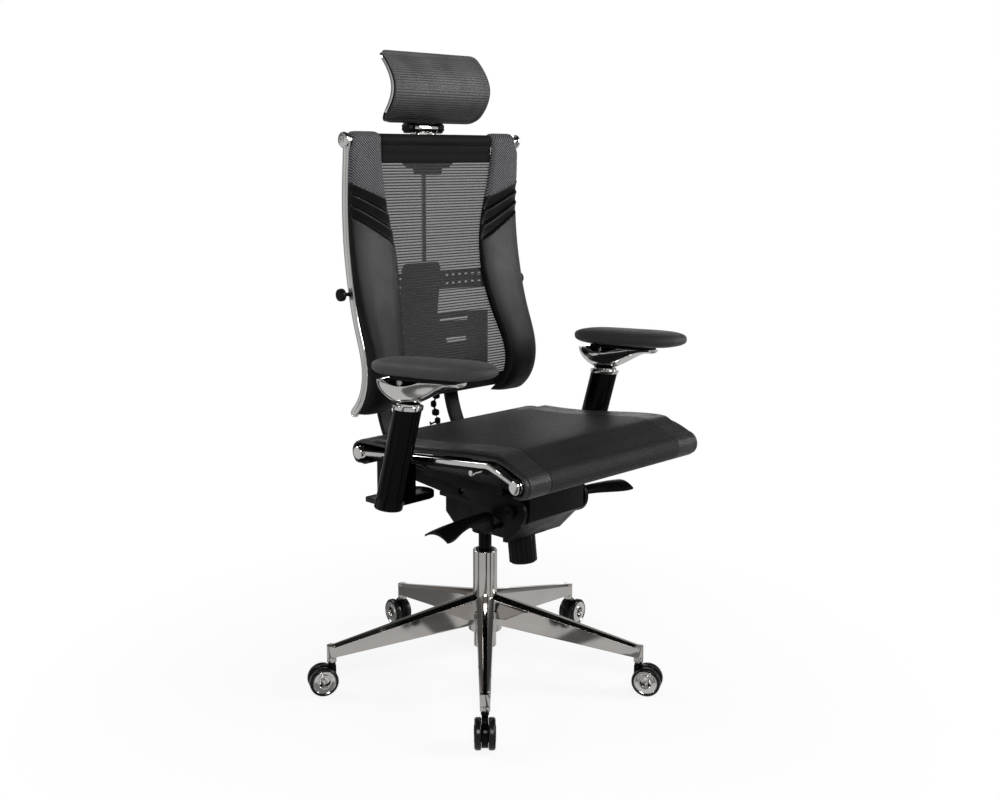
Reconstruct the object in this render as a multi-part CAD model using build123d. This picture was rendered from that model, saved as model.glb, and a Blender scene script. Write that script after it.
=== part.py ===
"""Swivel office chair: five-star base, gas lift, synchro mechanism, sling seat, mesh back with side
bolsters, headrest and adjustable arms.

Millimetres, +Z up, origin on the floor under the swivel axis. The sitter faces -Y, and +X is the
sitter's left. The column is at its lowest and the back is upright. Heights in this file are
measured from a level FLOOR_Z below the floor, and every part comes down by it when it is written.
"""

import os
from math import cos, radians, sin

import numpy as np
from build123d import *

# ---- running and standing clearances ----
RUN = 0.05  # radial play of a turning or sliding fit
GAP = 0.5  # side play between plates that turn past each other
SEATED = 0.6  # a sloping seat is let in this far before it is trimmed to its neighbour

FLOOR_Z = 8.0  # height of the floor in the measure used below

# ---- base ----
LEGS = 5
LEG_ONE_DEG = -134.6  # heading of the first leg
BASE_R = 335.0  # swivel axis to caster stem
LEG_ROOT_X = 14.0  # a leg starts this far from the axis, inside the hub
LEG_ROOT_W, LEG_TIP_W = 38.0, 20.0
LEG_ROOT_TOP, LEG_TIP_TOP = 190.0, 110.0
LEG_ROOT_H, LEG_TIP_H = 64.0, 25.0
LEG_WALL = 4.0
LEG_RIBS = 3
DRUM_R, DRUM_LOW, DRUM_TOP = 36.0, 108.0, 154.0
HUB_R, HUB_LOW = 24.0, 70.0
SOCKET_R, SOCKET_LOW = 10.0, 75.0
SOCKET_COLLAR = 9.0
STEM_R, STEM_DEEP = 5.5, 24.0

# ---- casters ----
WHEEL_R, WHEEL_W = 30.0, 14.0
WHEEL_EYE_R = 16.0  # the wheel runs on a hollow hub of this radius
HUB_BORE_R = 12.0
AXLE_Z = FLOOR_Z + WHEEL_R
TRAIL = 19.0  # stem axis to wheel centre
BODY_W = 13.0
NECK_R = 8.0

# ---- gas column ----
TUBE_R, TUBE_TOP, TUBE_BORE_R = 26.0, 283.0, 20.5
NECK_TUBE_R, NECK_TUBE_BORE_R = 20.0, 16.5
TUBE_SHOULDER = 150.0
BUSH_LONG = 80.0
GAS_R, GAS_BORE_R = 14.0, 11.5
GAS_LOW, GAS_TAPER_Z, GAS_TOP = 102.0, 346.0, 398.0
GAS_TIP_R = 13.0
ROD_R, PISTON_TOP = 5.0, 300.0

# ---- mechanism ----
PIN_Y, PIN_Z, PIN_R = -172.0, 420.0, 8.0  # front shaft that the back yoke and the seat both turn on
PIN_HEAD_R, PIN_HEAD_T = 12.0, 4.0
HOUSE_HALF_W, HOUSE_WALL = 80.0, 5.0
BELLY_HALF_W = 62.0
HOUSE_FRONT_Y, HOUSE_REAR_Y = -206.0, 56.0
BELLY_Z = 346.0
SOCKET_BOSS_R, SOCKET_BOSS_Z = 28.0, 324.0
LUG_T = 6.0
YOKE_T = 9.0
YOKE_EYE_R = 34.0
YOKE_REAR_Y, YOKE_REAR_Z = 150.0, 446.0
YOKE_BEAM = 30.0
KNOB_Y, KNOB_Z, KNOB_LEAN_DEG = -106.0, 342.0, 7.0
KNOB_R, KNOB_LONG = 29.0, 58.0
KNOB_FLUTES, FLUTE_R, KNOB_SOLE = 18, 2.4, 3.0
FLANGE, FLANGE_T = 78.0, 8.0
SCREW_R = 5.0
SPRING_R, SPRING_WIRE_R, SPRING_TURNS, SPRING_LONG = 17.0, 3.0, 4, 46.0
SPRING_SEAT = 12.0  # height of the spring's boss above the knob's flange
LEVER_Y, LEVER_Z, LEVER_SHAFT_R = -118.0, 376.0, 5.0
LEVER_ROOT_X, LEVER_CRANK_T = 102.0, 12.0
LEVER_TOP_Z = 411.0
# lever stations: x, rear edge, front edge, crest height, fall to the edges, thickness
LEVER_BLADE = [
    (108, -107, -130, 411, 4, 18),
    (160, -106, -134, 411, 6, 15),
    (205, -107, -148, 412, 11, 9),
    (250, -109, -172, 413, 14, 7),
    (276, -116, -180, 412, 12, 6),
]

# ---- seat ----
SEAT_PLATE_Z, SEAT_PLATE_T = 463.0, 5.0
SEAT_RAIL_X, RAIL_W, RAIL_H = 250.0, 10.0, 12.0
SEAT_FRONT = (-338.0, 531.0)  # front cross tube, (y, z)
SEAT_REAR = (104.0, 519.0)  # rear cross tube, (y, z)
SEAT_KINK = (-264.0, 556.0)  # the rail's knee
SEAT_DIP = (-60.0, 536.0)
SEAT_BAR_R, SEAT_ROLL_R = 12.0, 19.0
CAP_R, CAP_T = 13.0, 7.0
SLING_T = 13.5
SKIN_T = 6.0  # upholstery over the rail
PAN_T, PAN_FRONT_Y, PAN_REAR_Y = 6.0, -232.0, 36.0
PAN_END_IN, PAN_FOOT = 195.0, 112.0  # where the pan's wings start to level out, and where they spring
BOLT_R, BOLT_HEAD_R, BOLT_Y, BOLT_Z = 4.0, 5.5, -219.0, 535.0
BOLT_LUG_IN = 208.0

# ---- back ----
BACK_TOP_Z, BACK_LOW_Z = 1148.0, 590.0  # the top bar's axis and the rails' lower ends
DRAWN_TOP_Z = 1148.0  # the tables of the back are drawn for a top bar at this height


def raised(z):
    """A height drawn in a table of the back, stretched to where the top bar stands."""
    return BACK_LOW_Z + (z - BACK_LOW_Z) * (BACK_TOP_Z - BACK_LOW_Z) / (DRAWN_TOP_Z - BACK_LOW_Z)


# side outline of the rails' centre line from the top bar to the bottom, (y, z)
BACK_TABLE = [(157, 1148), (164, 985), (152, 868), (128, 765), (107, 682), (120, 625), (149, 590)]
BACK_LINE = [(y, raised(z)) for y, z in BACK_TABLE]
BACK_RAIL_X, BACK_RAIL_W, BACK_RAIL_D = 237.0, 10.0, 22.0
BACK_BAR_R, BACK_ROLL_R, BOLSTER_ROLL_R = 11.0, 14.0, 18.0
BACK_CAP_R, BACK_CAP_T, CAP_SCREW_R = 16.0, 7.0, 5.0
BOTTOM_BAR_Z = 618.0
BOTTOM_BAR_R = 9.0
MESH_T = 3.0
MESH_HALF_W, MESH_TOP_HALF_W = 226.0, 158.0
MESH_LOW = 606.0
# side bolster stations: height, inner edge, thickness
BOLSTER = [
    (1142, 160, 9),
    (1060, 151, 15),
    (960, 128, 19),
    (870, 122, 24),
    (780, 134, 28),
    (700, 150, 30),
    (640, 154, 26),
    (592, 146, 14),
]
BOLSTER_OUT = 240.0
# side outline of the carrier from the yoke up to its top, (y, z)
CARRIER_LINE = [(150, 461), (183, 511), (207, 571), (213, 650), (206, 760), (194, 884)]
CARRIER_T = 9.0
CARRIER_LEG_OUT, CARRIER_LEG_IN = 118.0, 82.0
CARRIER_PLATE_HALF_W = 53.0
CARRIER_WAIST_Z, CARRIER_NOTCH_Z = 770.0, 600.0
SPINE_Y, SPINE_HALF_W, SPINE_LONG = 190.0, 58.0, 72.0
SPINE_LOW = BACK_TOP_Z - SPINE_LONG

# ---- lumbar support ----
LUMBAR_KNOB_R, LUMBAR_KNOB_T, LUMBAR_KNOB_Z = 13.0, 9.0, 837.0
LUMBAR_BAR_H, LUMBAR_BAR_T = 42.0, 3.0
LUMBAR_BAR_LOW = LUMBAR_KNOB_Z - LUMBAR_BAR_H / 3
LUMBAR_BAR_TOP = LUMBAR_BAR_LOW + LUMBAR_BAR_H
LUMBAR_SLOT_W, LUMBAR_SLOT_H, LUMBAR_SLOT_PITCH = 9.0, 6.0, 17.0
LUMBAR_PAD_HALF_W, LUMBAR_PAD_H, LUMBAR_PAD_T, LUMBAR_PAD_DROP = 178.0, 146.0, 6.0, 55.0
LUMBAR_PAD_TOP = LUMBAR_BAR_LOW - LUMBAR_PAD_DROP
LUMBAR_PAD_LOW = LUMBAR_PAD_TOP - LUMBAR_PAD_H
LUMBAR_PIN_R, LUMBAR_PIN_X, LUMBAR_PIN_LONG = 4.0, 30.0, 34.0
LUMBAR_PIN_Z = LUMBAR_PAD_TOP - 68
# slots through the pad: inner and outer end, lower and upper edge below the pad's top
LUMBAR_PAD_SLOTS = [(27, 131, 20, 11), (65, 127, 69, 57)]

# ---- headrest ----
HEAD_Y, HEAD_Z = 190.0, BACK_TOP_Z + 28  # barrel axis
BARREL_R, BARREL_HALF = 12.0, 33.0
HEAD_PIN_R = 5.0
HEAD_EAR_T = 4.0
HEAD_KNOB_R, HEAD_KNOB_T = 12.0, 13.0
HEAD_ROD_R, HEAD_ROD_LOW = 5.0, CARRIER_LINE[-1][1] + 5
# side outline of the headrest, (y, height over the barrel axis)
HEAD_TABLE = [(172, 11), (141, 38), (124, 80), (136, 114), (172, 155)]
HEAD_LINE = [(y, HEAD_Z + rise) for y, rise in HEAD_TABLE]
HEAD_HALF_W, HEAD_RIM, HEAD_T = 138.0, 13.0, 9.0
HEAD_LOW_CORNER, HEAD_TOP_CORNER, HEAD_ARCH = 26.0, 14.0, 4.0
HEAD_MESH_T = 3.0

# ---- arms ----
ARM_X = 288.0
POST_LEAN = 0.293  # forward shift per unit of height
POST_Y, POST_LOW, POST_TOP = -29.0, 456.0, 641.0
POST_RX, POST_RY, POST_WALL = 22.0, 33.0, 4.0
POST_CAP_LOW = 434.0
STEM_LONG = 120.0
COLLAR_H = 8.0
BRACKET_T, BRACKET_IN, BRACKET_Y = 11.0, 152.0, 8.0
BRACKET_HALF_W = 38.0
RISER_Y = 12.0
PAD_Y, PAD_Z, PAD_TILT_DEG, PAD_TOE_DEG = -152.0, 727.0, 3.3, 3.3
PAD_LONG, PAD_W, PAD_T, PAD_TAPER = 308.0, 98.0, 36.0, 0.06
SLIDE_T, SLIDE_LONG, SLIDE_W = 6.0, 170.0, 44.0
PIVOT_R, PIVOT_PIN_R, PIVOT_BACK = 15.0, 6.0, 88.0
# cradle stations in the pad's tilted frame: distance forward of the pad's middle, half width, depth
CRADLE = [
    (-136, 11, 9),
    (-126, 24, 30),
    (-100, 31, 45),
    (-66, 32, 48),
    (-32, 29, 40),
    (14, 23, 20),
    (70, 17, 7),
]
DIP_R, DIP_DEEP, DIP_Y = 110.0, 9.0, 58.0  # the bowl's rim dips along its sides

LEFT, RIGHT = 1, -1
SIDES = {"left": LEFT, "right": RIGHT}


# ---- helpers ----
def bar(radius, length, start, axis="Z"):
    """A round bar that runs from start along one axis."""
    turn = {"X": Rot(0, 90, 0), "Y": Rot(-90, 0, 0), "Z": Rot(0, 0, 0)}[axis]
    along = (Align.CENTER, Align.CENTER, Align.MIN)
    return Pos(*start) * turn * Cylinder(radius, length, align=along)


def block(x, y, z):
    """A box given by its lower and upper limit along each axis."""
    centre = [(low + high) / 2 for low, high in (x, y, z)]
    return Pos(*centre) * Box(x[1] - x[0], y[1] - y[0], z[1] - z[0])


def across(face, x0, x1):
    """Extrude a face drawn in (y, z) from x0 to x1."""
    return extrude(Plane.YZ.offset(min(x0, x1)) * face, abs(x1 - x0))


def through(face, y0, y1):
    """Extrude a face drawn in (x, z) from y0 to y1."""
    plane = Plane(origin=(0, y0, 0), x_dir=(1, 0, 0), z_dir=(0, -1, 0))
    return extrude(plane * face, y0 - y1)


def upward(face, z0, z1):
    """Extrude a face drawn in (x, y) from z0 to z1."""
    return extrude(Pos(0, 0, z0) * face, z1 - z0)


def outline(*points):
    return make_face(Polyline(*points, close=True))


def ribbon(points, front, back):
    """The face between a spline shifted by front and by back along its first coordinate."""
    near = Spline(*[(u + front, v) for u, v in points])
    far = Spline(*[(u + back, v) for u, v in points])
    ends = Line(near @ 0, far @ 0) + Line(near @ 1, far @ 1)
    return make_face(near + far + ends)


def revolved(points):
    """Turn an outline drawn as (radius, height) about the Z axis."""
    return revolve(Plane.XZ * outline(*points), Axis.Z)


def curve_at(points, z):
    """The first coordinate of the spline through points where it crosses height z."""
    edge = Spline(*points)
    marks = sorted((p.Y, p.X) for p in (edge @ (i / 200) for i in range(201)))
    return float(np.interp(z, [m[0] for m in marks], [m[1] for m in marks]))


def back_y(z):
    return curve_at(BACK_LINE, z)


def carrier_y(z):
    return curve_at(CARRIER_LINE, z)


parts = {}


# ---- base and casters ----
def leg_section(x, width, top, height, wall=0.0):
    """A leg's cross-section: straight sides under a bevelled ridge. With a wall it is the hollow's."""
    half, ridge, bevel = width / 2 - wall, width / 2 * 0.34, width * 0.22
    low, high = top - height - (10 if wall else 0), top - wall
    face = outline(
        (-half, low),
        (half, low),
        (half, high - bevel),
        (ridge, high),
        (-ridge, high),
        (-half, high - bevel),
    )
    return Plane(origin=(x, 0, 0), x_dir=(0, 1, 0), z_dir=(1, 0, 0)) * face


def star_base():
    tip = BASE_R
    leg = loft(
        [
            leg_section(LEG_ROOT_X, LEG_ROOT_W, LEG_ROOT_TOP, LEG_ROOT_H),
            leg_section(tip, LEG_TIP_W, LEG_TIP_TOP, LEG_TIP_H),
        ]
    )
    hollow = loft(
        [
            leg_section(DRUM_R + LEG_WALL, LEG_ROOT_W - 2, LEG_ROOT_TOP - 6, LEG_ROOT_H, LEG_WALL),
            leg_section(tip - SOCKET_R - LEG_WALL, LEG_TIP_W, LEG_TIP_TOP, LEG_TIP_H, LEG_WALL),
        ]
    )
    for i in range(LEG_RIBS):
        x = DRUM_R + (tip - DRUM_R) * (i + 1) / (LEG_RIBS + 1)
        hollow -= block((x - 1.5, x + 1.5), (-LEG_ROOT_W, LEG_ROOT_W), (0, LEG_ROOT_TOP))
    socket = bar(SOCKET_R, LEG_TIP_TOP - SOCKET_LOW, (tip, 0, SOCKET_LOW))
    socket -= Pos(tip, 0, 0) * revolved(
        [
            (SOCKET_R - 0.8, SOCKET_LOW + SOCKET_COLLAR),
            (SOCKET_R + 1, SOCKET_LOW + SOCKET_COLLAR),
            (SOCKET_R + 1, SOCKET_LOW + SOCKET_COLLAR + 1),
            (SOCKET_R - 0.8, SOCKET_LOW + SOCKET_COLLAR + 1),
        ]
    )
    bore = bar(STEM_R, STEM_DEEP + 1, (tip, 0, SOCKET_LOW - 1))
    leg = (leg - hollow) + socket - bore
    hub = bar(DRUM_R, DRUM_TOP - DRUM_LOW, (0, 0, DRUM_LOW))
    hub = fillet(hub.edges().group_by(Axis.Z)[-1], 6)
    hub += bar(HUB_R, DRUM_LOW - HUB_LOW, (0, 0, HUB_LOW))
    base = hub
    for i in range(LEGS):
        base += Rot(0, 0, LEG_ONE_DEG + i * 360 / LEGS) * leg
    base -= bar(NECK_TUBE_R, LEG_ROOT_TOP, (0, 0, HUB_LOW - 1))
    base -= bar(TUBE_R, LEG_ROOT_TOP, (0, 0, TUBE_SHOULDER))
    return base


def caster_fork():
    """The stem, neck and the hollow hub that both wheels of a caster run on. The stem is at x = 0."""
    half = BODY_W / 2
    reach = half + WHEEL_W + 0.5
    body = bar(WHEEL_R - 4, BODY_W, (TRAIL, -half, AXLE_Z), "Y")
    hub = bar(WHEEL_EYE_R, 2 * reach, (TRAIL, -reach, AXLE_Z), "Y")
    bore = bar(HUB_BORE_R, 4 * WHEEL_W, (TRAIL, -2 * WHEEL_W, AXLE_Z), "Y")
    neck_low = AXLE_Z + (WHEEL_R**2 - (TRAIL - NECK_R) ** 2) ** 0.5 + 1.5
    neck = bar(NECK_R, SOCKET_LOW - GAP - neck_low, (0, 0, neck_low))
    web = block((-NECK_R, TRAIL), (-half, half), (AXLE_Z + 6, neck_low))
    spoke = block((TRAIL - 3, TRAIL + 3), (-half, half), (AXLE_Z - HUB_BORE_R - 1, AXLE_Z + HUB_BORE_R + 1))
    stem = bar(STEM_R - RUN, STEM_DEEP, (0, 0, SOCKET_LOW - GAP))
    return body + hub + neck + web - bore + spoke + stem


def caster_wheel(side):
    """One tyre with its bright rim, outside the caster's body on the side given."""
    inner = BODY_W / 2 + 0.4
    outer = inner + WHEEL_W - 0.8
    ring = [
        (WHEEL_EYE_R + RUN, inner),
        (WHEEL_R - 2, inner),
        (WHEEL_R, inner + 2),
        (WHEEL_R, outer - 3),
        (WHEEL_R - 3, outer),
        (WHEEL_R - 6, outer),
        (WHEEL_R - 7, outer - 1.5),
        (WHEEL_EYE_R + 2, outer - 1.5),
        (WHEEL_EYE_R + RUN, outer - 0.5),
    ]
    return Pos(TRAIL, 0, AXLE_Z) * Rot(-90 * side, 0, 0) * revolved(ring)


def build_base():
    parts["star_base"] = star_base()
    for i in range(LEGS):
        place = Rot(0, 0, LEG_ONE_DEG + i * 360 / LEGS) * Pos(BASE_R, 0, 0)
        parts[f"caster_{i + 1}_fork"] = place * caster_fork()
        for name, side in SIDES.items():
            parts[f"caster_{i + 1}_wheel_{name}"] = place * caster_wheel(side)


# ---- gas column ----
def build_column():
    floor = HUB_LOW + 6
    parts["column_tube"] = revolved(
        [
            (ROD_R + 4, HUB_LOW),
            (NECK_TUBE_R, HUB_LOW),
            (NECK_TUBE_R, TUBE_SHOULDER),
            (TUBE_R, TUBE_SHOULDER),
            (TUBE_R, TUBE_TOP - 1),
            (TUBE_R - 1, TUBE_TOP),
            (TUBE_BORE_R, TUBE_TOP),
            (TUBE_BORE_R, TUBE_TOP - BUSH_LONG),
            (NECK_TUBE_BORE_R, TUBE_TOP - BUSH_LONG - 4),
            (NECK_TUBE_BORE_R, floor),
            (ROD_R + 4, floor),
        ]
    )
    parts["column_bush"] = revolved(
        [
            (GAS_R + RUN, TUBE_TOP - BUSH_LONG),
            (TUBE_BORE_R, TUBE_TOP - BUSH_LONG),
            (TUBE_BORE_R, TUBE_TOP),
            (TUBE_BORE_R - 1, TUBE_TOP + 1.5),
            (GAS_R + RUN, TUBE_TOP + 1.5),
        ]
    )
    bearing_top = floor + 8
    parts["thrust_bearing"] = revolved(
        [
            (ROD_R, floor),
            (NECK_TUBE_BORE_R - 2, floor),
            (NECK_TUBE_BORE_R - 2, floor + 3),
            (NECK_TUBE_BORE_R - 4, floor + 4),
            (NECK_TUBE_BORE_R - 2, floor + 5),
            (NECK_TUBE_BORE_R - 2, bearing_top),
            (ROD_R, bearing_top),
        ]
    )
    parts["piston_rod"] = revolved(
        [
            (0, HUB_LOW + 1),
            (ROD_R, HUB_LOW + 1),
            (ROD_R, PISTON_TOP - 14),
            (GAS_BORE_R - RUN, PISTON_TOP - 14),
            (GAS_BORE_R - RUN, PISTON_TOP),
            (0, PISTON_TOP),
        ]
    )
    parts["gas_cylinder"] = revolved(
        [
            (ROD_R + RUN, GAS_LOW),
            (GAS_R - 1, GAS_LOW),
            (GAS_R, GAS_LOW + 1),
            (GAS_R, GAS_TAPER_Z),
            (GAS_TIP_R, GAS_TOP - 2),
            (GAS_TIP_R - 2, GAS_TOP),
            (0, GAS_TOP),
            (0, GAS_TAPER_Z - 8),
            (GAS_BORE_R, GAS_TAPER_Z - 8),
            (GAS_BORE_R, GAS_LOW + 10),
            (ROD_R + RUN, GAS_LOW + 10),
        ]
    )


# ---- mechanism ----
def on_knob_axis(shape):
    """Place a shape drawn about +Z so that it hangs down the tension knob's leaning axis."""
    return Pos(0, KNOB_Y, KNOB_Z) * Rot(-KNOB_LEAN_DEG, 0, 0) * shape


def house_profile(inset):
    """The housing's side outline, moved in by the wall for its hollow."""
    front, rear, belly = HOUSE_FRONT_Y + inset, HOUSE_REAR_Y - inset, BELLY_Z + inset
    top = 40 if inset else 0
    return outline(
        (front, PIN_Z + 32 + top),
        (front, PIN_Z - 18),
        (front + 22, PIN_Z - 32 + inset / 2),
        (KNOB_Y - 36, belly),
        (HOUSE_REAR_Y - 26, belly),
        (rear, belly + 22),
        (rear, PIN_Z - 6 + top),
        (GAS_R, PIN_Z + 4 + top),
    )


def mech_housing():
    wide = across(house_profile(0), -HOUSE_HALF_W, HOUSE_HALF_W)
    wide -= block((-200, 200), (HOUSE_FRONT_Y + 74, 200), (0, PIN_Z - 14))
    narrow = across(house_profile(0), -BELLY_HALF_W, BELLY_HALF_W)
    shell = wide + narrow
    hollow = across(house_profile(HOUSE_WALL), -BELLY_HALF_W + HOUSE_WALL, BELLY_HALF_W - HOUSE_WALL)
    shell -= hollow
    shell += bar(SOCKET_BOSS_R, GAS_TOP - 10 - SOCKET_BOSS_Z, (0, 0, SOCKET_BOSS_Z))
    flange = Box(FLANGE, FLANGE, FLANGE_T, align=(Align.CENTER, Align.CENTER, Align.MIN))
    flange = chamfer(flange.edges().filter_by(Axis.Z), 6)
    shell += on_knob_axis(flange)
    shell += on_knob_axis(bar(SPRING_R + 5, SPRING_SEAT, (0, 0, 0)))
    shell += bar(PIN_R + 8, 2 * HOUSE_HALF_W, (-HOUSE_HALF_W, PIN_Y, PIN_Z), "X")
    for side in SIDES.values():
        shell += bar(LEVER_SHAFT_R + 5, 20, (side * BELLY_HALF_W - 10, LEVER_Y, LEVER_Z), "X")
    shell -= bar(PIN_R, 4 * HOUSE_HALF_W, (-2 * HOUSE_HALF_W, PIN_Y, PIN_Z), "X")
    shell -= bar(LEVER_SHAFT_R + RUN, 4 * HOUSE_HALF_W, (-2 * HOUSE_HALF_W, LEVER_Y, LEVER_Z), "X")
    shell -= on_knob_axis(bar(SCREW_R + RUN, 40, (0, 0, -20)))
    return shell - gas_socket()


def gas_socket():
    return revolved(
        [
            (0, SOCKET_BOSS_Z - 1),
            (GAS_R, SOCKET_BOSS_Z - 1),
            (GAS_R, GAS_TAPER_Z),
            (GAS_TIP_R, GAS_TOP - 2),
            (GAS_TIP_R - 2, GAS_TOP),
            (0, GAS_TOP),
        ]
    )


def tension_knob():
    """A fluted grip on a plain sole, with the screw that runs up through the spring."""
    section = Circle(KNOB_R)
    for i in range(KNOB_FLUTES):
        section -= Rot(0, 0, i * 360 / KNOB_FLUTES) * Pos(KNOB_R + 0.6, 0) * Circle(FLUTE_R)
    grip = upward(section, -KNOB_LONG, -1)
    sole = bar(KNOB_R - FLUTE_R, KNOB_SOLE, (0, 0, -KNOB_LONG - KNOB_SOLE))
    sole = chamfer(sole.edges().group_by(Axis.Z)[0], KNOB_SOLE - 1)
    return on_knob_axis(grip + sole + bar(SCREW_R, SPRING_SEAT + SPRING_LONG + 8, (0, 0, -2)))


def tilt_spring():
    pitch = (SPRING_LONG - 2 * SPRING_WIRE_R) / SPRING_TURNS
    path = Helix(pitch, pitch * SPRING_TURNS, SPRING_R)
    wire = Plane(origin=path @ 0, z_dir=path % 0) * Circle(SPRING_WIRE_R)
    coil = sweep(wire, path, is_frenet=True)
    return on_knob_axis(Pos(0, 0, SPRING_SEAT + SPRING_WIRE_R) * coil)


def yoke_plate_outline():
    """Side outline of a yoke arm, in (y, z): a round eye at the front, tapering to the rear beam."""
    eye = Pos(PIN_Y, PIN_Z) * Circle(YOKE_EYE_R)
    top = PIN_Z + YOKE_EYE_R
    arm = outline(
        (PIN_Y, top),
        (PIN_Y + 8, PIN_Z - YOKE_EYE_R + 1),
        (-70, PIN_Z - 4),
        (20, PIN_Z),
        (YOKE_REAR_Y - 12, YOKE_REAR_Z - YOKE_BEAM / 2),
        (YOKE_REAR_Y + 12, YOKE_REAR_Z - YOKE_BEAM / 2),
        (YOKE_REAR_Y + 12, YOKE_REAR_Z + YOKE_BEAM / 2),
        (40, PIN_Z + 26),
    )
    return eye + arm


def back_yoke():
    inner = HOUSE_HALF_W + LUG_T + 2 * GAP
    plate = yoke_plate_outline()
    plate -= Pos(PIN_Y, PIN_Z) * Circle(PIN_R + RUN)
    plate -= Pos(-26, PIN_Z + 13) * Circle(7)
    yoke = across(plate, inner, inner + YOKE_T) + across(plate, -inner - YOKE_T, -inner)
    half = YOKE_BEAM / 2
    rear_z = (YOKE_REAR_Z - half, YOKE_REAR_Z + half)
    beam = block((-CARRIER_LEG_OUT, CARRIER_LEG_OUT), (YOKE_REAR_Y - half, YOKE_REAR_Y + half), rear_z)
    beam = fillet(beam.edges().filter_by(Axis.X), 5)
    return yoke + beam


def blade_section(x, rear, front, crest, fall, thick):
    """An arched strip in (y, z): it falls away from its crest to both edges."""
    middle = (rear + front) / 2
    edge = crest - fall
    low = edge - thick * 0.6
    top = Spline((rear, edge), (middle, crest), (front, edge))
    under = Spline((front, low), (middle, crest - thick), (rear, low))
    ends = Line(top @ 1, under @ 0) + Line(under @ 1, top @ 0)
    return Plane.YZ.offset(x) * make_face(top + under + ends)


def lever(side):
    """A blade on a crank: its shaft turns in the housing, and fingers lift the blade from below."""
    shaft_in = BELLY_HALF_W - 10
    crank_out = LEVER_ROOT_X + LEVER_CRANK_T
    arm = bar(LEVER_SHAFT_R, LEVER_ROOT_X - shaft_in + 4, (shaft_in, LEVER_Y, LEVER_Z), "X")
    crank = Pos(LEVER_Y, LEVER_Z) * Circle(LEVER_SHAFT_R + 5)
    crank += Pos(LEVER_Y, (LEVER_Z + LEVER_TOP_Z) / 2 - 3) * Rectangle(20, LEVER_TOP_Z - LEVER_Z - 6)
    arm += across(crank, LEVER_ROOT_X, crank_out)
    arm += loft([blade_section(*station) for station in LEVER_BLADE])
    return arm if side == LEFT else mirror(arm, Plane.YZ)


def build_mechanism():
    parts["mech_housing"] = mech_housing()
    pin_half = HOUSE_HALF_W + LUG_T + YOKE_T + 3 * GAP + 4
    pin = bar(PIN_R, 2 * pin_half, (-pin_half, PIN_Y, PIN_Z), "X")
    for side in SIDES.values():
        head_start = side * (pin_half + PIN_HEAD_T / 2) - PIN_HEAD_T / 2
        pin += bar(PIN_HEAD_R, PIN_HEAD_T, (head_start, PIN_Y, PIN_Z), "X")
    parts["yoke_pin"] = pin
    parts["tilt_spring"] = tilt_spring()
    parts["tension_knob"] = tension_knob()
    parts["back_yoke"] = back_yoke()
    parts["height_lever"] = lever(RIGHT)
    parts["tilt_lever"] = lever(LEFT)


# ---- seat ----
def rail_line():
    return [SEAT_REAR, SEAT_DIP, SEAT_KINK, SEAT_FRONT]


def seat_rail(side):
    points = rail_line()
    path = FilletPolyline(*[(0, y, z) for y, z in points], radius=30)
    section = Plane(origin=path @ 0, x_dir=(1, 0, 0), z_dir=path % 0)
    rail = sweep(section * RectangleRounded(RAIL_W, RAIL_H, 4), path)
    inner = -RAIL_W / 2
    for y, z in (SEAT_FRONT, SEAT_REAR):
        rail += bar(CAP_R, RAIL_W, (inner, y, z), "X")
    return Pos(side * SEAT_RAIL_X, 0, 0) * rail


def rail_z(y):
    """Height of the seat rail's centre line."""
    points = sorted(rail_line())
    return float(np.interp(y, [p[0] for p in points], [p[1] for p in points]))


def seat_sling():
    """Upholstery: a roll around each cross tube and a panel between them that laps over the rails."""
    half = SEAT_RAIL_X - RAIL_W / 2
    front, rear = SEAT_FRONT, SEAT_REAR
    top = [
        (rear[0], rear[1] + SEAT_ROLL_R + 1),
        (SEAT_DIP[0], SEAT_DIP[1] + RAIL_H / 2 + SKIN_T - 2),
        (SEAT_KINK[0] + 20, SEAT_KINK[1] + RAIL_H / 2 + SKIN_T - 2),
        (SEAT_KINK[0] - 34, SEAT_KINK[1] + RAIL_H / 2 + 3),
        (front[0] - 4, front[1] + SEAT_ROLL_R - 1),
    ]
    lower = [(y, z - SLING_T) for y, z in top]
    curve = Spline(*top)
    under = Spline(*lower)
    panel = make_face(curve + under + Line(curve @ 0, under @ 0) + Line(curve @ 1, under @ 1))
    profile = panel
    for place in (front, rear):
        profile += Pos(*place) * Circle(SEAT_ROLL_R)
    for place in (front, rear):
        profile -= Pos(*place) * Circle(SEAT_BAR_R)
    rail_top = [(y, rail_z(y) + RAIL_H / 2 + 2 * RUN) for y in (80, SEAT_DIP[0], SEAT_KINK[0] + 30)]
    above = outline(*rail_top, (rail_top[-1][0], 700), (rail_top[0][0], 700))
    lap = panel & above
    sling = across(profile, -half, half)
    for side in SIDES.values():
        sling += across(lap, side * half, side * (half + RAIL_W))
    return sling


def pan_end_z(y):
    """Height of the top of the pan's ends, let in a little under the rails."""
    front, rear = rail_z(PAN_FRONT_Y), rail_z(PAN_REAR_Y)
    part = (y - PAN_FRONT_Y) / (PAN_REAR_Y - PAN_FRONT_Y)
    return front + (rear - front) * part - RAIL_H / 2 + 2 * SEATED


def pan_section(y):
    """Gull-wing section in (x, z): level under the plate, rising to level ends under the rails."""
    reach = SEAT_RAIL_X + RAIL_W / 2 - 1
    end = pan_end_z(y)
    right = [(reach, end), (PAN_END_IN, end), (PAN_FOOT, SEAT_PLATE_Z + SEAT_PLATE_T + PAN_T)]
    left = [(-x, z) for x, z in reversed(right)]
    under = [(x, z - PAN_T) for x, z in reversed(right + left)]
    plane = Plane(origin=(0, y, 0), x_dir=(1, 0, 0), z_dir=(0, -1, 0))
    return plane * outline(*right, *left, *under)


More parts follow.
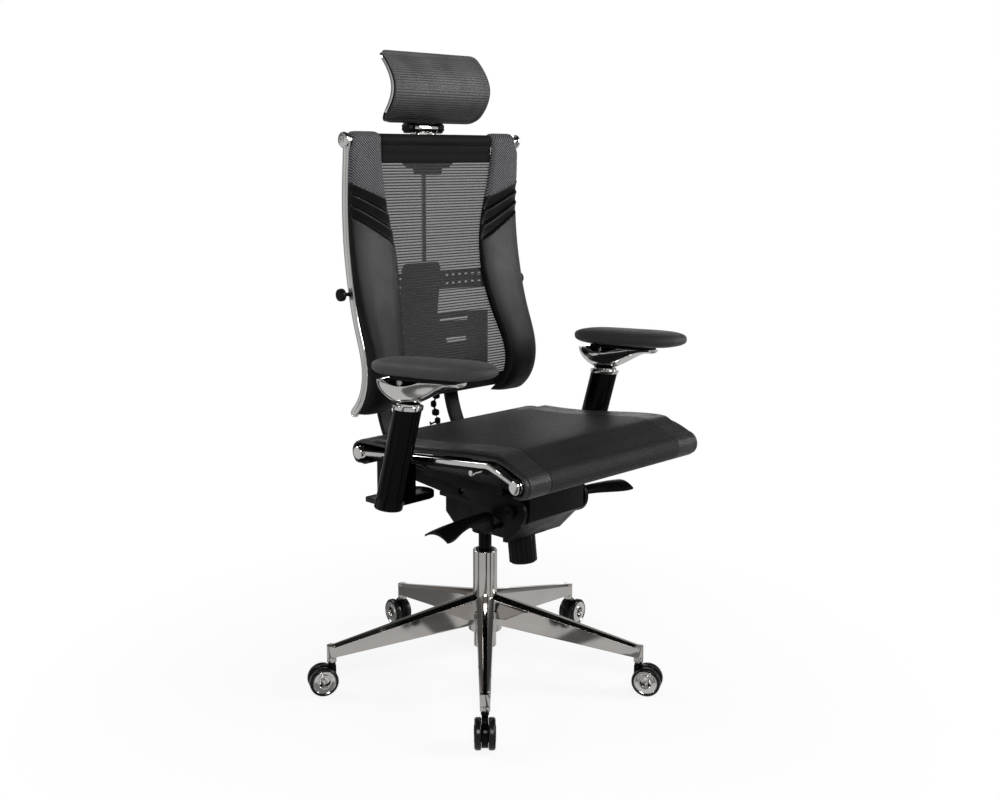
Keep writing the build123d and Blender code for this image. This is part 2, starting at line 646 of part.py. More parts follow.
def seat_subframe():
    """Plate with two lugs on the front shaft, and a winged pan up to the rails."""
    half = HOUSE_HALF_W + LUG_T + GAP
    plate_top = SEAT_PLATE_Z + SEAT_PLATE_T
    plate = block((-half, half), (HOUSE_FRONT_Y, HOUSE_REAR_Y), (SEAT_PLATE_Z, plate_top))
    frame = fillet(plate.edges().filter_by(Axis.Z), 12)
    lug = Pos(PIN_Y, PIN_Z) * Circle(PIN_R + 8)
    lug += Pos(PIN_Y, (PIN_Z + SEAT_PLATE_Z) / 2 + 1) * Rectangle(2 * PIN_R + 16, SEAT_PLATE_Z - PIN_Z + 2)
    lug -= Pos(PIN_Y, PIN_Z) * Circle(PIN_R + RUN)
    for side in SIDES.values():
        frame += across(lug, side * (HOUSE_HALF_W + GAP), side * half)
    frame += loft([pan_section(PAN_REAR_Y), pan_section(PAN_FRONT_Y)], ruled=True)
    for side in SIDES.values():
        x = sorted((side * BOLT_LUG_IN, side * (BOLT_LUG_IN + 10)))
        frame += block(x, (BOLT_Y - 8, BOLT_Y + 14), (BOLT_Z - 8, pan_end_z(BOLT_Y + 14) - 1))
        frame -= seat_rail(side)
    return frame


def build_seat():
    for name, side in SIDES.items():
        parts[f"seat_rail_{name}"] = seat_rail(side)
    half = SEAT_RAIL_X - RAIL_W / 2
    for name, (y, z) in {"front": SEAT_FRONT, "rear": SEAT_REAR}.items():
        tube = bar(SEAT_BAR_R, 2 * half, (-half, y, z), "X")
        parts[f"seat_{name}_bar"] = tube - bar(SEAT_BAR_R - 2.5, 4 * half, (-2 * half, y, z), "X")
    parts["seat_subframe"] = seat_subframe()
    parts["seat_sling"] = seat_sling()
    outer = SEAT_RAIL_X + RAIL_W / 2
    fittings = []
    for side in SIDES.values():
        for y, z in (SEAT_FRONT, SEAT_REAR):
            cap = chamfer(bar(CAP_R, CAP_T, (0, 0, 0), "X").edges().group_by(Axis.X)[-1], 1.5)
            cap = Pos(outer, y, z) * cap
            fittings.append(cap if side == LEFT else mirror(cap, Plane.YZ))
        bolt = bar(BOLT_R, 29, (218, BOLT_Y, BOLT_Z), "X") + bar(BOLT_HEAD_R, 6, (247, BOLT_Y, BOLT_Z), "X")
        fittings.append(bolt if side == LEFT else mirror(bolt, Plane.YZ))
    parts["seat_caps_and_bolts"] = Compound(fittings)


# ---- back ----
def back_rail(side):
    face = ribbon(BACK_LINE, -BACK_RAIL_D / 2, BACK_RAIL_D / 2)
    rail = across(face, -BACK_RAIL_W / 2, BACK_RAIL_W / 2)
    y, z = top_bar_place()
    rail += bar(BACK_RAIL_D / 2, BACK_RAIL_W, (-BACK_RAIL_W / 2, y, z), "X")
    rail -= bar(4, 4 * BACK_RAIL_W, (-2 * BACK_RAIL_W, knob_y(), LUMBAR_KNOB_Z), "X")
    return Pos(side * BACK_RAIL_X, 0, 0) * rail


def top_bar_place():
    return BACK_LINE[0][0] - 3, BACK_LINE[0][1]


def bottom_bar_place():
    return back_y(BOTTOM_BAR_Z), BOTTOM_BAR_Z


def knob_y():
    return back_y(LUMBAR_KNOB_Z) + 6


def mesh_offset():
    """The mesh lies just in front of the rails."""
    return -BACK_RAIL_D / 2 - 0.5


def back_mesh():
    near = mesh_offset() - MESH_T
    face = ribbon(BACK_LINE, near, mesh_offset())
    sheet = across(face, -MESH_HALF_W, MESH_HALF_W)
    y, z = top_bar_place()
    top_cut = z - BOLSTER_ROLL_R - 4
    sheet -= block((-300, 300), (0, 300), (0, MESH_LOW))
    for side in SIDES.values():
        x = sorted((side * MESH_TOP_HALF_W, side * 2 * MESH_HALF_W))
        sheet -= block(x, (0, 300), (top_cut, 2 * top_cut))
    roll = bar(BACK_ROLL_R, 2 * MESH_TOP_HALF_W, (-MESH_TOP_HALF_W, y, z), "X")
    roll -= block((-SPINE_HALF_W - GAP, SPINE_HALF_W + GAP), (y - GAP, 300), (0, z + 4 + GAP))
    return sheet + roll - bar(BACK_BAR_R, 600, (-300, y, z), "X")


def bolster_section(z, inner, thick):
    """Half-oval section of a side bolster at one height, flat against the mesh."""
    y = back_y(z) + mesh_offset() - MESH_T + 2
    middle, half = (inner + BOLSTER_OUT) / 2, (BOLSTER_OUT - inner) / 2
    front = Spline(
        (middle - half, y),
        (middle - half * 0.78, y - 2 - thick * 0.72),
        (middle, y - 2 - thick),
        (middle + half * 0.8, y - 2 - thick * 0.86),
        (middle + half, y),
    )
    face = make_face(front + Line(front @ 1, front @ 0))
    return Pos(0, 0, z) * face


def bolster():
    pad = loft([bolster_section(raised(z), inner, thick) for z, inner, thick in BOLSTER])
    pad -= across(ribbon(BACK_LINE, mesh_offset() - MESH_T, 60), 0, 300)
    y, z = top_bar_place()
    inner = MESH_TOP_HALF_W + 1
    outer = BACK_RAIL_X - BACK_RAIL_W / 2 - 0.5
    pad += bar(BOLSTER_ROLL_R, outer - inner, (inner, y, z), "X")
    return pad - bar(BACK_BAR_R, 600, (0, y, z), "X")


def carrier_slab(half_w):
    return across(ribbon(CARRIER_LINE, 0, CARRIER_T), -half_w, half_w)


def back_carrier():
    """Two legs that rise from the yoke and join in a plate behind the lumbar support."""
    low, top = CARRIER_LINE[0][1], CARRIER_LINE[-1][1]
    waist = CARRIER_PLATE_HALF_W
    right = [
        (CARRIER_LEG_IN, low - 2),
        (CARRIER_LEG_OUT, low - 2),
        (CARRIER_LEG_OUT, CARRIER_NOTCH_Z + 40),
        (waist + 14, CARRIER_WAIST_Z - 30),
        (waist, CARRIER_WAIST_Z),
        (waist, top - 10),
        (waist - 10, top + 2),
    ]
    left = [(-x, z) for x, z in reversed(right)]
    notch = [
        (-CARRIER_LEG_IN, CARRIER_NOTCH_Z),
        (-CARRIER_LEG_IN + 16, CARRIER_NOTCH_Z + 16),
        (CARRIER_LEG_IN - 16, CARRIER_NOTCH_Z + 16),
        (CARRIER_LEG_IN, CARRIER_NOTCH_Z),
    ]
    front = outline(*right, *left, *notch)
    carrier = carrier_slab(CARRIER_LEG_OUT) & through(front, 400, 0)
    y, z = bottom_bar_place()
    for side in SIDES.values():
        x = sorted((side * (CARRIER_LEG_IN + 6), side * (CARRIER_LEG_OUT - 8)))
        brace = block(x, (y + BOTTOM_BAR_R - 3, carrier_y(z) + 2), (z - 12, z + 2))
        carrier += brace
    carrier -= bar(BOTTOM_BAR_R, 600, (-300, y, z), "X")
    for side in SIDES.values():
        carrier -= bar(LUMBAR_PIN_R + RUN, 200, (side * LUMBAR_PIN_X, 150, LUMBAR_PIN_Z), "Y")
    foot = block(
        (-CARRIER_LEG_OUT, CARRIER_LEG_OUT),
        (YOKE_REAR_Y - YOKE_BEAM / 2, YOKE_REAR_Y + YOKE_BEAM / 2),
        (0, YOKE_REAR_Z + YOKE_BEAM / 2),
    )
    return carrier - foot


def back_spine():
    """Guide under the top bar for the headrest's rod."""
    y, z = top_bar_place()
    right = [
        (SPINE_HALF_W, z + 2),
        (SPINE_HALF_W, SPINE_LOW + 28),
        (SPINE_HALF_W - 18, SPINE_LOW + 14),
        (SPINE_HALF_W - 34, SPINE_LOW + 14),
        (SPINE_HALF_W - 39, SPINE_LOW),
    ]
    left = [(-x, height) for x, height in reversed(right)]
    front = outline(*right, *left)
    slab = block((-60, 60), (y, SPINE_Y + 9), (SPINE_LOW - 10, z + 4))
    guide = (slab & through(front, 400, 0)) - bar(BACK_BAR_R, 200, (-100, y, z), "X")
    return guide - bar(HEAD_ROD_R + RUN, 2 * SPINE_LONG, (0, SPINE_Y, SPINE_LOW - SPINE_LONG / 2))


def bowed_face(half_w, ends_y, middle_y, thick):
    """A strip in plan view that bows back from its ends to its middle."""
    near = ThreePointArc((-half_w, ends_y), (0, middle_y), (half_w, ends_y))
    far = ThreePointArc((-half_w, ends_y + thick), (0, middle_y + thick), (half_w, ends_y + thick))
    return make_face(near + far + Line(near @ 0, far @ 0) + Line(near @ 1, far @ 1))


def lumbar_bar():
    half = BACK_RAIL_X - BACK_RAIL_W / 2
    middle = carrier_y(LUMBAR_BAR_TOP) - LUMBAR_BAR_T
    strip = upward(bowed_face(half, knob_y() - 4, middle, LUMBAR_BAR_T), LUMBAR_BAR_LOW, LUMBAR_BAR_TOP)
    count = int((half - 40) / LUMBAR_SLOT_PITCH)
    for row in (0.3, 0.72):
        z = LUMBAR_BAR_LOW + row * (LUMBAR_BAR_TOP - LUMBAR_BAR_LOW)
        for i in range(-count, count + 1):
            if abs(i * LUMBAR_SLOT_PITCH) > CARRIER_PLATE_HALF_W:
                x = i * LUMBAR_SLOT_PITCH
                w, h = LUMBAR_SLOT_W / 2, LUMBAR_SLOT_H / 2
                strip -= block((x - w, x + w), (100, 260), (z - h, z + h))
    for side in SIDES.values():
        strip += bar(10, 14, (side * (half - 7) - 7, knob_y(), LUMBAR_KNOB_Z), "X")
    return strip


def lumbar_knobs():
    """A disc knob outside each rail on a short shaft."""
    start = BACK_RAIL_X + BACK_RAIL_W / 2
    knob = bar(4 - RUN, 16 + BACK_RAIL_W, (start - BACK_RAIL_W + 0.4, knob_y(), LUMBAR_KNOB_Z), "X")
    disc = bar(LUMBAR_KNOB_R, LUMBAR_KNOB_T, (start + 13, knob_y(), LUMBAR_KNOB_Z), "X")
    knob += fillet(disc.edges().group_by(Axis.X)[-1], 2.5)
    return Compound([knob, mirror(knob, Plane.YZ)])


def lumbar_pad_y():
    """Where the pad's front face stands behind the mesh, drawn right back against the carrier."""
    return carrier_y(LUMBAR_PAD_TOP) - LUMBAR_PAD_T - 1


def lumbar_pad():
    middle = lumbar_pad_y()
    face = bowed_face(LUMBAR_PAD_HALF_W, middle - 26, middle, LUMBAR_PAD_T)
    pad = upward(face, LUMBAR_PAD_LOW, LUMBAR_PAD_TOP)
    for side in SIDES.values():
        for x0, x1, low, high in LUMBAR_PAD_SLOTS:
            x = sorted((side * x0, side * x1))
            pad -= block(x, (100, 260), (LUMBAR_PAD_TOP - low, LUMBAR_PAD_TOP - high))
    for side in SIDES.values():
        start = (side * LUMBAR_PIN_X, middle + LUMBAR_PAD_T - 2, LUMBAR_PIN_Z)
        pad += bar(LUMBAR_PIN_R, LUMBAR_PIN_LONG, start, "Y")
    return pad


def build_back():
    for name, side in SIDES.items():
        parts[f"back_rail_{name}"] = back_rail(side)
    half = BACK_RAIL_X - BACK_RAIL_W / 2
    y, z = top_bar_place()
    tube = bar(BACK_BAR_R, 2 * half, (-half, y, z), "X")
    parts["back_top_bar"] = tube - bar(BACK_BAR_R - 2, 4 * half, (-2 * half, y, z), "X")
    low_y, low_z = bottom_bar_place()
    parts["back_bottom_bar"] = bar(BOTTOM_BAR_R, 2 * half, (-half, low_y, low_z), "X")
    outer = BACK_RAIL_X + BACK_RAIL_W / 2
    cap = chamfer(bar(BACK_CAP_R, BACK_CAP_T, (outer, y, z), "X").edges().group_by(Axis.X)[-1], 2)
    cap += bar(CAP_SCREW_R, 2, (outer + BACK_CAP_T, y, z), "X")
    parts["back_end_caps"] = Compound([cap, mirror(cap, Plane.YZ)])
    parts["back_mesh"] = back_mesh()
    pad = bolster()
    parts["bolster_left"] = pad
    parts["bolster_right"] = mirror(pad, Plane.YZ)
    parts["back_carrier"] = back_carrier()
    parts["back_spine"] = back_spine()
    parts["lumbar_bar"] = lumbar_bar()
    parts["lumbar_knobs"] = lumbar_knobs()
    parts["lumbar_pad"] = lumbar_pad()


# ---- headrest ----
def headrest_bracket():
    """Rod, foot and the bright barrel that the headrest turns in."""
    barrel = bar(BARREL_R, 2 * BARREL_HALF, (-BARREL_HALF, HEAD_Y, HEAD_Z), "X")
    bracket = barrel
    foot_low = BACK_LINE[0][1] + 6
    for side in SIDES.values():
        x = (side * 24 - 5, side * 24 + 5)
        bracket += block(x, (HEAD_Y - 9, HEAD_Y + 9), (foot_low, HEAD_Z))
    bracket += block((-29, 29), (HEAD_Y - 9, HEAD_Y + 9), (foot_low, foot_low + 6))
    bracket += bar(HEAD_ROD_R, foot_low + 2 - HEAD_ROD_LOW, (0, SPINE_Y, HEAD_ROD_LOW))
    return bracket - bar(HEAD_PIN_R + RUN, 200, (-100, HEAD_Y, HEAD_Z), "X")


def headrest_outline(inset):
    """Front outline of the headrest: an arched top edge, and rounder corners below than above."""
    half, low, top = HEAD_HALF_W - inset, HEAD_LINE[0][1] + inset, HEAD_LINE[-1][1] - inset
    shoulder = top - HEAD_ARCH
    edge = ThreePointArc((half, shoulder), (0, top), (-half, shoulder))
    edge += Polyline((-half, shoulder), (-half, low), (half, low), (half, shoulder))
    face = make_face(edge)
    face = fillet(face.vertices().group_by(Axis.Y)[0], HEAD_LOW_CORNER - inset * 0.6)
    face = fillet(face.vertices().group_by(Axis.Y)[-1], HEAD_TOP_CORNER - inset * 0.6)
    return through(face, 400, 0)


def headrest_frame():
    slab = across(ribbon(HEAD_LINE, 0, HEAD_T), -HEAD_HALF_W, HEAD_HALF_W)
    frame = (slab & headrest_outline(0)) - headrest_outline(HEAD_RIM)
    low_y, low_z = HEAD_LINE[0]
    root_z = low_z + HEAD_RIM - 2
    root_y = curve_at(HEAD_LINE, root_z) + HEAD_T / 2
    ear = outline(
        (root_y, root_z),
        (root_y + 10, root_z + 2),
        (HEAD_Y + 9, HEAD_Z + 6),
        (HEAD_Y + 9, HEAD_Z - 6),
        (HEAD_Y - 4, HEAD_Z - 9),
        (HEAD_Y - 12, HEAD_Z),
        (low_y + 2, low_z + 2),
    )
    inner = BARREL_HALF + GAP
    for side in SIDES.values():
        frame += across(ear, side * inner, side * (inner + HEAD_EAR_T))
    pin_half = inner + HEAD_EAR_T + GAP + HEAD_KNOB_T - 3
    return frame + bar(HEAD_PIN_R, 2 * pin_half, (-pin_half, HEAD_Y, HEAD_Z), "X")


def headrest_knobs():
    start = BARREL_HALF + 2 * GAP + HEAD_EAR_T
    face = Circle(HEAD_KNOB_R)
    for i in range(8):
        face -= Rot(0, 0, i * 45) * Pos(HEAD_KNOB_R + 1.2, 0) * Circle(2.6)
    knob = extrude(face, HEAD_KNOB_T)
    knob -= bar(HEAD_PIN_R + RUN, HEAD_KNOB_T - 2.9, (0, 0, 0))
    knob = Pos(start, HEAD_Y, HEAD_Z) * Rot(0, 90, 0) * knob
    return Compound([knob, mirror(knob, Plane.YZ)])


def build_headrest():
    parts["headrest_bracket"] = headrest_bracket()
    parts["headrest_knobs"] = headrest_knobs()
    parts["headrest_frame"] = headrest_frame()
    sheet = across(ribbon(HEAD_LINE, -HEAD_MESH_T, 0), -HEAD_HALF_W, HEAD_HALF_W)
    parts["headrest_mesh"] = sheet & headrest_outline(3)


# ---- arms ----
def post_y(z):
    return POST_Y - (z - POST_LOW) * POST_LEAN


def leaning(rx, ry, z0, z1):
    """An oval bar that leans forward as it rises, between two heights."""
    lean = Vector(0, -POST_LEAN, 1).normalized()
    return extrude(Pos(ARM_X, post_y(z0), z0) * Ellipse(rx, ry), (z1 - z0) / lean.Z, dir=lean)


def arm_post():
    """The leaning post, its foot, and the bracket that runs in under the seat."""
    post = leaning(POST_RX, POST_RY, POST_LOW - 2, POST_TOP)
    post -= leaning(POST_RX - POST_WALL, POST_RY - POST_WALL, POST_LOW + 12, POST_TOP + 2)
    foot = leaning(POST_RX + 1, POST_RY + 1, POST_CAP_LOW, POST_LOW)
    foot = fillet(foot.edges().group_by(Axis.Z)[0], 4)
    top = POST_CAP_LOW + BRACKET_T
    tongue = Pos(BRACKET_IN + BRACKET_HALF_W, BRACKET_Y) * Circle(BRACKET_HALF_W)
    tongue += Pos((BRACKET_IN + BRACKET_HALF_W + ARM_X) / 2, BRACKET_Y) * Rectangle(
        ARM_X - BRACKET_IN - BRACKET_HALF_W, 2 * BRACKET_HALF_W
    )
    bracket = upward(tongue, POST_CAP_LOW + 1, top)
    front, rear = RISER_Y - 24, RISER_Y + 24
    riser = outline(
        (front, top - 1),
        (rear, top - 1),
        (rear, pan_end_z(rear) - PAN_T),
        (front, pan_end_z(front) - PAN_T),
    )
    return post + foot + bracket + across(riser, PAN_END_IN + 11, ARM_X - POST_RX)


def pad_frame(side):
    """The pad's tilted frame: local +Y runs back along the pad, +Z is square to its top."""
    toe = Rot(0, 0, -side * PAD_TOE_DEG)
    return Pos(side * (ARM_X - 2), PAD_Y, PAD_Z) * toe * Rot(-PAD_TILT_DEG, 0, 0)


def arm_cradle(side):
    """A bright boat-shaped bowl on a collar and an oval stem that slides in the post."""
    top = -PAD_T / 2 - SLIDE_T - GAP
    faces = []
    hollow = []
    for forward, half, deep in CRADLE:
        plane = Plane(origin=(0, -forward, top), x_dir=(1, 0, 0), z_dir=(0, -1, 0))
        faces.append(plane * half_oval(half, deep))
        if -130 < forward < 20:
            hollow.append(plane * Pos(0, 1) * half_oval(half - 4, max(deep - 4, 3)))
    bowl = loft(faces) - loft(hollow)
    bowl -= bar(DIP_R, PAD_W, (-PAD_W / 2, DIP_Y, top + DIP_R - DIP_DEEP), "X")
    pivot = bar(PIVOT_R, 38, (0, PIVOT_BACK, top - 38))
    bowl += pivot
    bowl -= bar(PIVOT_PIN_R + RUN, 12, (0, PIVOT_BACK, top - 11.5))
    bowl = pad_frame(side) * bowl
    collar = leaning(POST_RX + 2, POST_RY + 2, POST_TOP + 0.3, POST_TOP + COLLAR_H)
    loose = POST_WALL + 0.4
    stem = leaning(POST_RX - loose, POST_RY - loose, POST_TOP - STEM_LONG, POST_TOP + 12)
    body = collar + stem
    if side == RIGHT:
        body = mirror(body, Plane.YZ)
    return bowl + body


def half_oval(half, deep):
    """The lower half of an oval, flat side up."""
    turn = (half * 0.72, -deep * 0.72)
    curve = Spline((-half, 0), (-turn[0], turn[1]), (0, -deep), turn, (half, 0))
    return make_face(curve + Line(curve @ 1, curve @ 0))


def arm_slide(side):
    """The flat track between cradle and pad. It turns on a pin in the cradle's pivot."""
    low = -PAD_T / 2 - SLIDE_T
    plate = Pos(0, PIVOT_BACK - SLIDE_LONG / 2 + PIVOT_R, low) * extrude(
        RectangleRounded(SLIDE_W, SLIDE_LONG, 14), SLIDE_T - 0.3
    )
    plate += bar(PIVOT_PIN_R, 11, (0, PIVOT_BACK, low - 10))
    return pad_frame(side) * plate


def pad_outline(inset):
    """Plan outline of the pad: blunt round ends, and slimmer towards the rear."""
    half_l, half_w = PAD_LONG / 2 - inset, PAD_W / 2 - inset
    points = []
    for i in range(24):
        along, out = -cos(radians(i * 15)), sin(radians(i * 15))
        width = half_w * abs(out) ** 0.6 * (0.94 - PAD_TAPER * along)
        points.append((width if out > 0 else -width, half_l * along))
    return make_face(Spline(*points, periodic=True))


def arm_pad(side):
    """Soft pad: a well rounded slab lofted through four outlines."""
    levels = ((-0.5, 9), (-0.2, 1), (0.2, 0), (0.5, 12))
    pad = loft([Pos(0, 0, height * PAD_T) * pad_outline(inset) for height, inset in levels])
    return pad_frame(side) * pad


def build_arms():
    post = arm_post()
    for name, side in SIDES.items():
        parts[f"arm_post_{name}"] = post if side == LEFT else mirror(post, Plane.YZ)
        parts[f"arm_cradle_{name}"] = arm_cradle(side)
        parts[f"arm_slide_{name}"] = arm_slide(side)
        parts[f"arm_pad_{name}"] = arm_pad(side)


build_base()
build_column()
build_mechanism()
build_seat()
build_back()
build_headrest()
build_arms()

os.makedirs("parts", exist_ok=True)
for node, shape in parts.items():
    export_step(Pos(0, 0, -FLOOR_Z) * shape, f"parts/{node}.step")
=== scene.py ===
"""Looks of the swivel office chair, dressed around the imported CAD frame. Metres, +Z up.

The sitter faces -Y and +X is the sitter's left. Lengths in the named values are millimetres, but for
the camera, the lamps and the floor, which are in metres.
"""

from math import atan2, cos, pi, radians, sin, sqrt, tan

import bmesh
import bpy
import numpy as np
from mathutils import Euler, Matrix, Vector


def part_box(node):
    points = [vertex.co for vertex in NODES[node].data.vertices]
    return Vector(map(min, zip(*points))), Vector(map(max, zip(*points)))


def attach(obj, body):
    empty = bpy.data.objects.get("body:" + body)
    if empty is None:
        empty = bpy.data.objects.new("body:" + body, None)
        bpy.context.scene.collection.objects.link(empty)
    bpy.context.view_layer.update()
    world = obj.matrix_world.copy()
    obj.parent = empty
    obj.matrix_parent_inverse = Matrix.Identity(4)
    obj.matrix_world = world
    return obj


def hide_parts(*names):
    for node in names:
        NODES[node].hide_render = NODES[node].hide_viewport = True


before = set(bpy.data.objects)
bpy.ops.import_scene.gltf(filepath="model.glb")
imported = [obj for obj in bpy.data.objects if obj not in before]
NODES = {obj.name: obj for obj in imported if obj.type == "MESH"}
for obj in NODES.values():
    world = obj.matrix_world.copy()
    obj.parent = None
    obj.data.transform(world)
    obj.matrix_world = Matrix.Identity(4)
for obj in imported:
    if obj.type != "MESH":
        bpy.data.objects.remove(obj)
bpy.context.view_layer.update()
MM = 0.001
SIDES = {"left": 1, "right": -1}

# ---- light ----
WORLD_LIGHT = 0.16
FLOOR_HALF, FLOOR_FADE = 12.0, (0.35, 1.0)
FLOOR_IN_CHROME = 0.55
# heading and half width in degrees, and level, of the dark stripes of painted reflection in the floor's
# glow
FLOOR_REFLECTION_STRIPES = [(-123, 5, 0.02), (-84, 6, 0.2), (-44, 5, 0.35), (97, 11, 0.15), (162, 5, 0.2)]
REFLECTION_STRIPE_SOFT = 0.006
STUDIO_RISE = [(0.0, 0.5), (0.5, 0.62), (0.6, 0.42), (0.72, 0.12), (0.85, 0.03), (1.0, 0.02)]
STUDIO_ROUND = [
    (0.0, 0.9),
    (0.08, (0.55, 0.48, 0.44)),
    (0.12, 0.95),
    (0.2, 0.35),
    (0.26, 1.0),
    (0.34, (0.6, 0.54, 0.5)),
    (0.42, 1.0),
    (0.5, 0.25),
    (0.56, 0.9),
    (0.585, 2.8),
    (0.613, 2.8),
    (0.628, 1.0),
    (0.70, (0.5, 0.44, 0.4)),
    (0.76, 1.0),
    (0.84, 0.2),
    (0.9, 0.95),
    (1.0, 0.9),
]

# ---- camera ----
CAMERA_AT = (-1.801, -1.829, 1.106)
CAMERA_PITCH_DEG = 7.49
CAMERA_LENS = 44.65
CAMERA_SHIFT = (0.0149, -0.08)

# ---- the same values as the part's source, mm ----
FLOOR_Z = 8.0  # heights here and in the source are measured from this far below the floor
BACK_LINE = [(157, 1148), (164, 985), (152, 868), (128, 765), (107, 682), (120, 625), (149, 590)]
RAIL_HALF_D = 11.0
MESH_FRONT = -RAIL_HALF_D - 3.5
TOP_BAR = (154.0, 1148.0)
TOP_BAR_R = 11.0
MESH_ROLL_R = 14.0
MESH_HALF_W, MESH_TOP_HALF_W, MESH_LOW = 226.0, 158.0, 606.0
SPINE_HALF_W = 58.5
BOLSTER_OUT = 240.0
SEAT_FRONT, SEAT_REAR = (-338.0, 531.0), (104.0, 519.0)
SEAT_TOP = [(104, 539), (-60, 546), (-244, 566), (-298, 565), (-342, 549)]
SEAT_ROLL_R, SLING_T, SEAT_HALF_W = 19.0, 13.5, 245.0
HEAD_LINE = [(172, 1187), (141, 1214), (124, 1256), (136, 1290), (172, 1331)]
HEAD_HALF_W, HEAD_LOW_CORNER, HEAD_TOP_CORNER = 138.0, 26.0, 14.0
PAD_PLACE = (286.0, -152.0, 727.0)
PAD_TILT_DEG, PAD_TOE_DEG = 3.3, 3.3
PAD_LONG, PAD_W, PAD_T, PAD_TAPER = 308.0, 98.0, 36.0, 0.06
BOWL_MIDDLE_Z, BOWL_SLOPE, BOWL_DEEP = 694.5, 0.058, 50.0
PIVOT_BACK, BOSS_R = 88.0, 16.5
# back from the pad's middle, depth
BOWL_FLOOR, BOWL_END = [(-14, 24), (10, 30), (32, 41), (66, 47), (72, 46)], [(105, 43), (125, 29)]
WEB_TOP, WEB_LOW = -24.9, -19.5
RAIL_X, KNOB_Z = 237.0, 837.0
RAIL_SECTION = [
    (-5.0, -12.4), (-3.5, -14.0), (2.5, -14.0), (4.4, -13.2), (5.2, -11.6), (5.2, -8.6), (4.2, -7.4),
    (3.9, -6.0), (4.4, -4.8), (5.0, -4.0), (5.1, 0.0), (4.6, 3.2), (3.2, 5.2), (1.0, 6.0), (-3.5, 6.0),
    (-5.0, 4.8),
]  # outward, back
SEAT_RAIL = [(104, 519), (-60, 536), (-264, 556), (-338, 531)]
SEAT_RAIL_HALF_H, SEAT_PLATE_R = 6.0, 13.2


# ---- curves ----
def cubic(points, count):
    """Evenly spaced points along the natural cubic through the given ones."""
    p = np.array(points, float)
    t = np.concatenate([[0], np.cumsum(np.linalg.norm(np.diff(p, axis=0), axis=1))])
    h, n = np.diff(t), len(p)
    a, b = np.eye(n), np.zeros_like(p)
    for i in range(1, n - 1):
        a[i, i - 1 : i + 2] = h[i - 1], 2 * (h[i - 1] + h[i]), h[i]
        b[i] = 6 * ((p[i + 1] - p[i]) / h[i] - (p[i] - p[i - 1]) / h[i - 1])
    m = np.linalg.solve(a, b)

    def at(s):
        i = np.clip(np.searchsorted(t, s, side="right") - 1, 0, n - 2)
        u, v, w = (s - t[i])[:, None], (t[i + 1] - s)[:, None], h[i][:, None]
        bend = (m[i] * v**3 + m[i + 1] * u**3) / (6 * w)
        return bend + (p[i] / w - m[i] * w / 6) * v + (p[i + 1] / w - m[i + 1] * w / 6) * u

    fine = at(np.linspace(0, t[-1], 400))
    run = lengths(fine)
    return at(np.interp(np.linspace(0, run[-1], count), run, np.linspace(0, t[-1], 400)))


def lengths(line):
    """Running length along a line of points."""
    return np.concatenate([[0], np.cumsum(np.linalg.norm(np.diff(line, axis=0), axis=1))])


def resample(line, count):
    """The same line with evenly spaced points."""
    run = lengths(line)
    marks = np.linspace(0, run[-1], count)
    return np.column_stack([np.interp(marks, run, line[:, k]) for k in range(line.shape[1])])


def outward(line):
    """Unit normals of a line in (y, z), to its left as it runs."""
    d = np.gradient(line, axis=0)
    d /= np.linalg.norm(d, axis=1)[:, None]
    return np.column_stack([-d[:, 1], d[:, 0]])


def arc(centre, radius, start_deg, end_deg, count):
    """Points on an arc in (y, z). 0 degrees is +y and 90 is up."""
    angle = np.radians(np.linspace(start_deg, end_deg, count))
    return np.column_stack([centre[0] + radius * np.cos(angle), centre[1] + radius * np.sin(angle)])


def ease(t):
    """A smooth step from 0 to 1."""
    t = np.clip(t, 0, 1)
    return t * t * (3 - 2 * t)


BACK_CURVE = cubic(BACK_LINE, 300)[::-1]


def back_y(z):
    """Front-to-back place of the back's line at a height."""
    return np.interp(z, BACK_CURVE[:, 1], BACK_CURVE[:, 0])


# ---- meshes ----
def piece(name, points, faces, body, material, slot, flat=None, smooth=True):
    """A mesh from points in millimetres, on a body, with its material; slot is not used."""
    mesh = bpy.data.meshes.new(name)
    points = (np.asarray(points, float) - (0, 0, FLOOR_Z)) * MM
    mesh.from_pydata(points.tolist(), [], [list(map(int, f)) for f in faces])
    mesh.validate()
    if flat is not None:
        layer = mesh.attributes.new("flat", "FLOAT_VECTOR", "POINT")
        layer.data.foreach_set("vector", (np.asarray(flat, float) * MM).astype(np.float32).ravel())
    bm = bmesh.new()
    bm.from_mesh(mesh)
    bmesh.ops.recalc_face_normals(bm, faces=bm.faces)
    bm.to_mesh(mesh)
    bm.free()
    if smooth:
        mesh.shade_smooth()
    obj = bpy.data.objects.new(name, mesh)
    bpy.context.scene.collection.objects.link(obj)
    for m in material if isinstance(material, (list, tuple)) else [material]:
        mesh.materials.append(m)
    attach(obj, body)
    return obj


def capped(rings):
    """The points of equal rings in one list, with the middle of the first and of the last at its end."""
    rings = np.asarray(rings, float)
    return np.vstack([rings.reshape(-1, rings.shape[-1]), rings[0].mean(0), rings[-1].mean(0)])


def skin(rings):
    """Points and faces of a tube through equal rings, shape (rings, points, 3), with capped ends."""
    n, m = np.shape(rings)[:2]
    faces = []
    for a in range(0, (n - 1) * m, m):
        for j in range(m):
            k = (j + 1) % m
            faces.append((a + j, a + k, a + m + k, a + m + j))
    for j in range(m):
        k = (j + 1) % m
        faces.append((n * m, k, j))
        faces.append((n * m + 1, (n - 1) * m + j, (n - 1) * m + k))
    return capped(rings), faces


def joined(*meshes):
    """Several (points, faces) as one."""
    points, faces, start = [], [], 0
    for p, f in meshes:
        points.append(np.asarray(p, float))
        faces += [tuple(i + start for i in face) for face in f]
        start += len(p)
    return np.vstack(points), faces


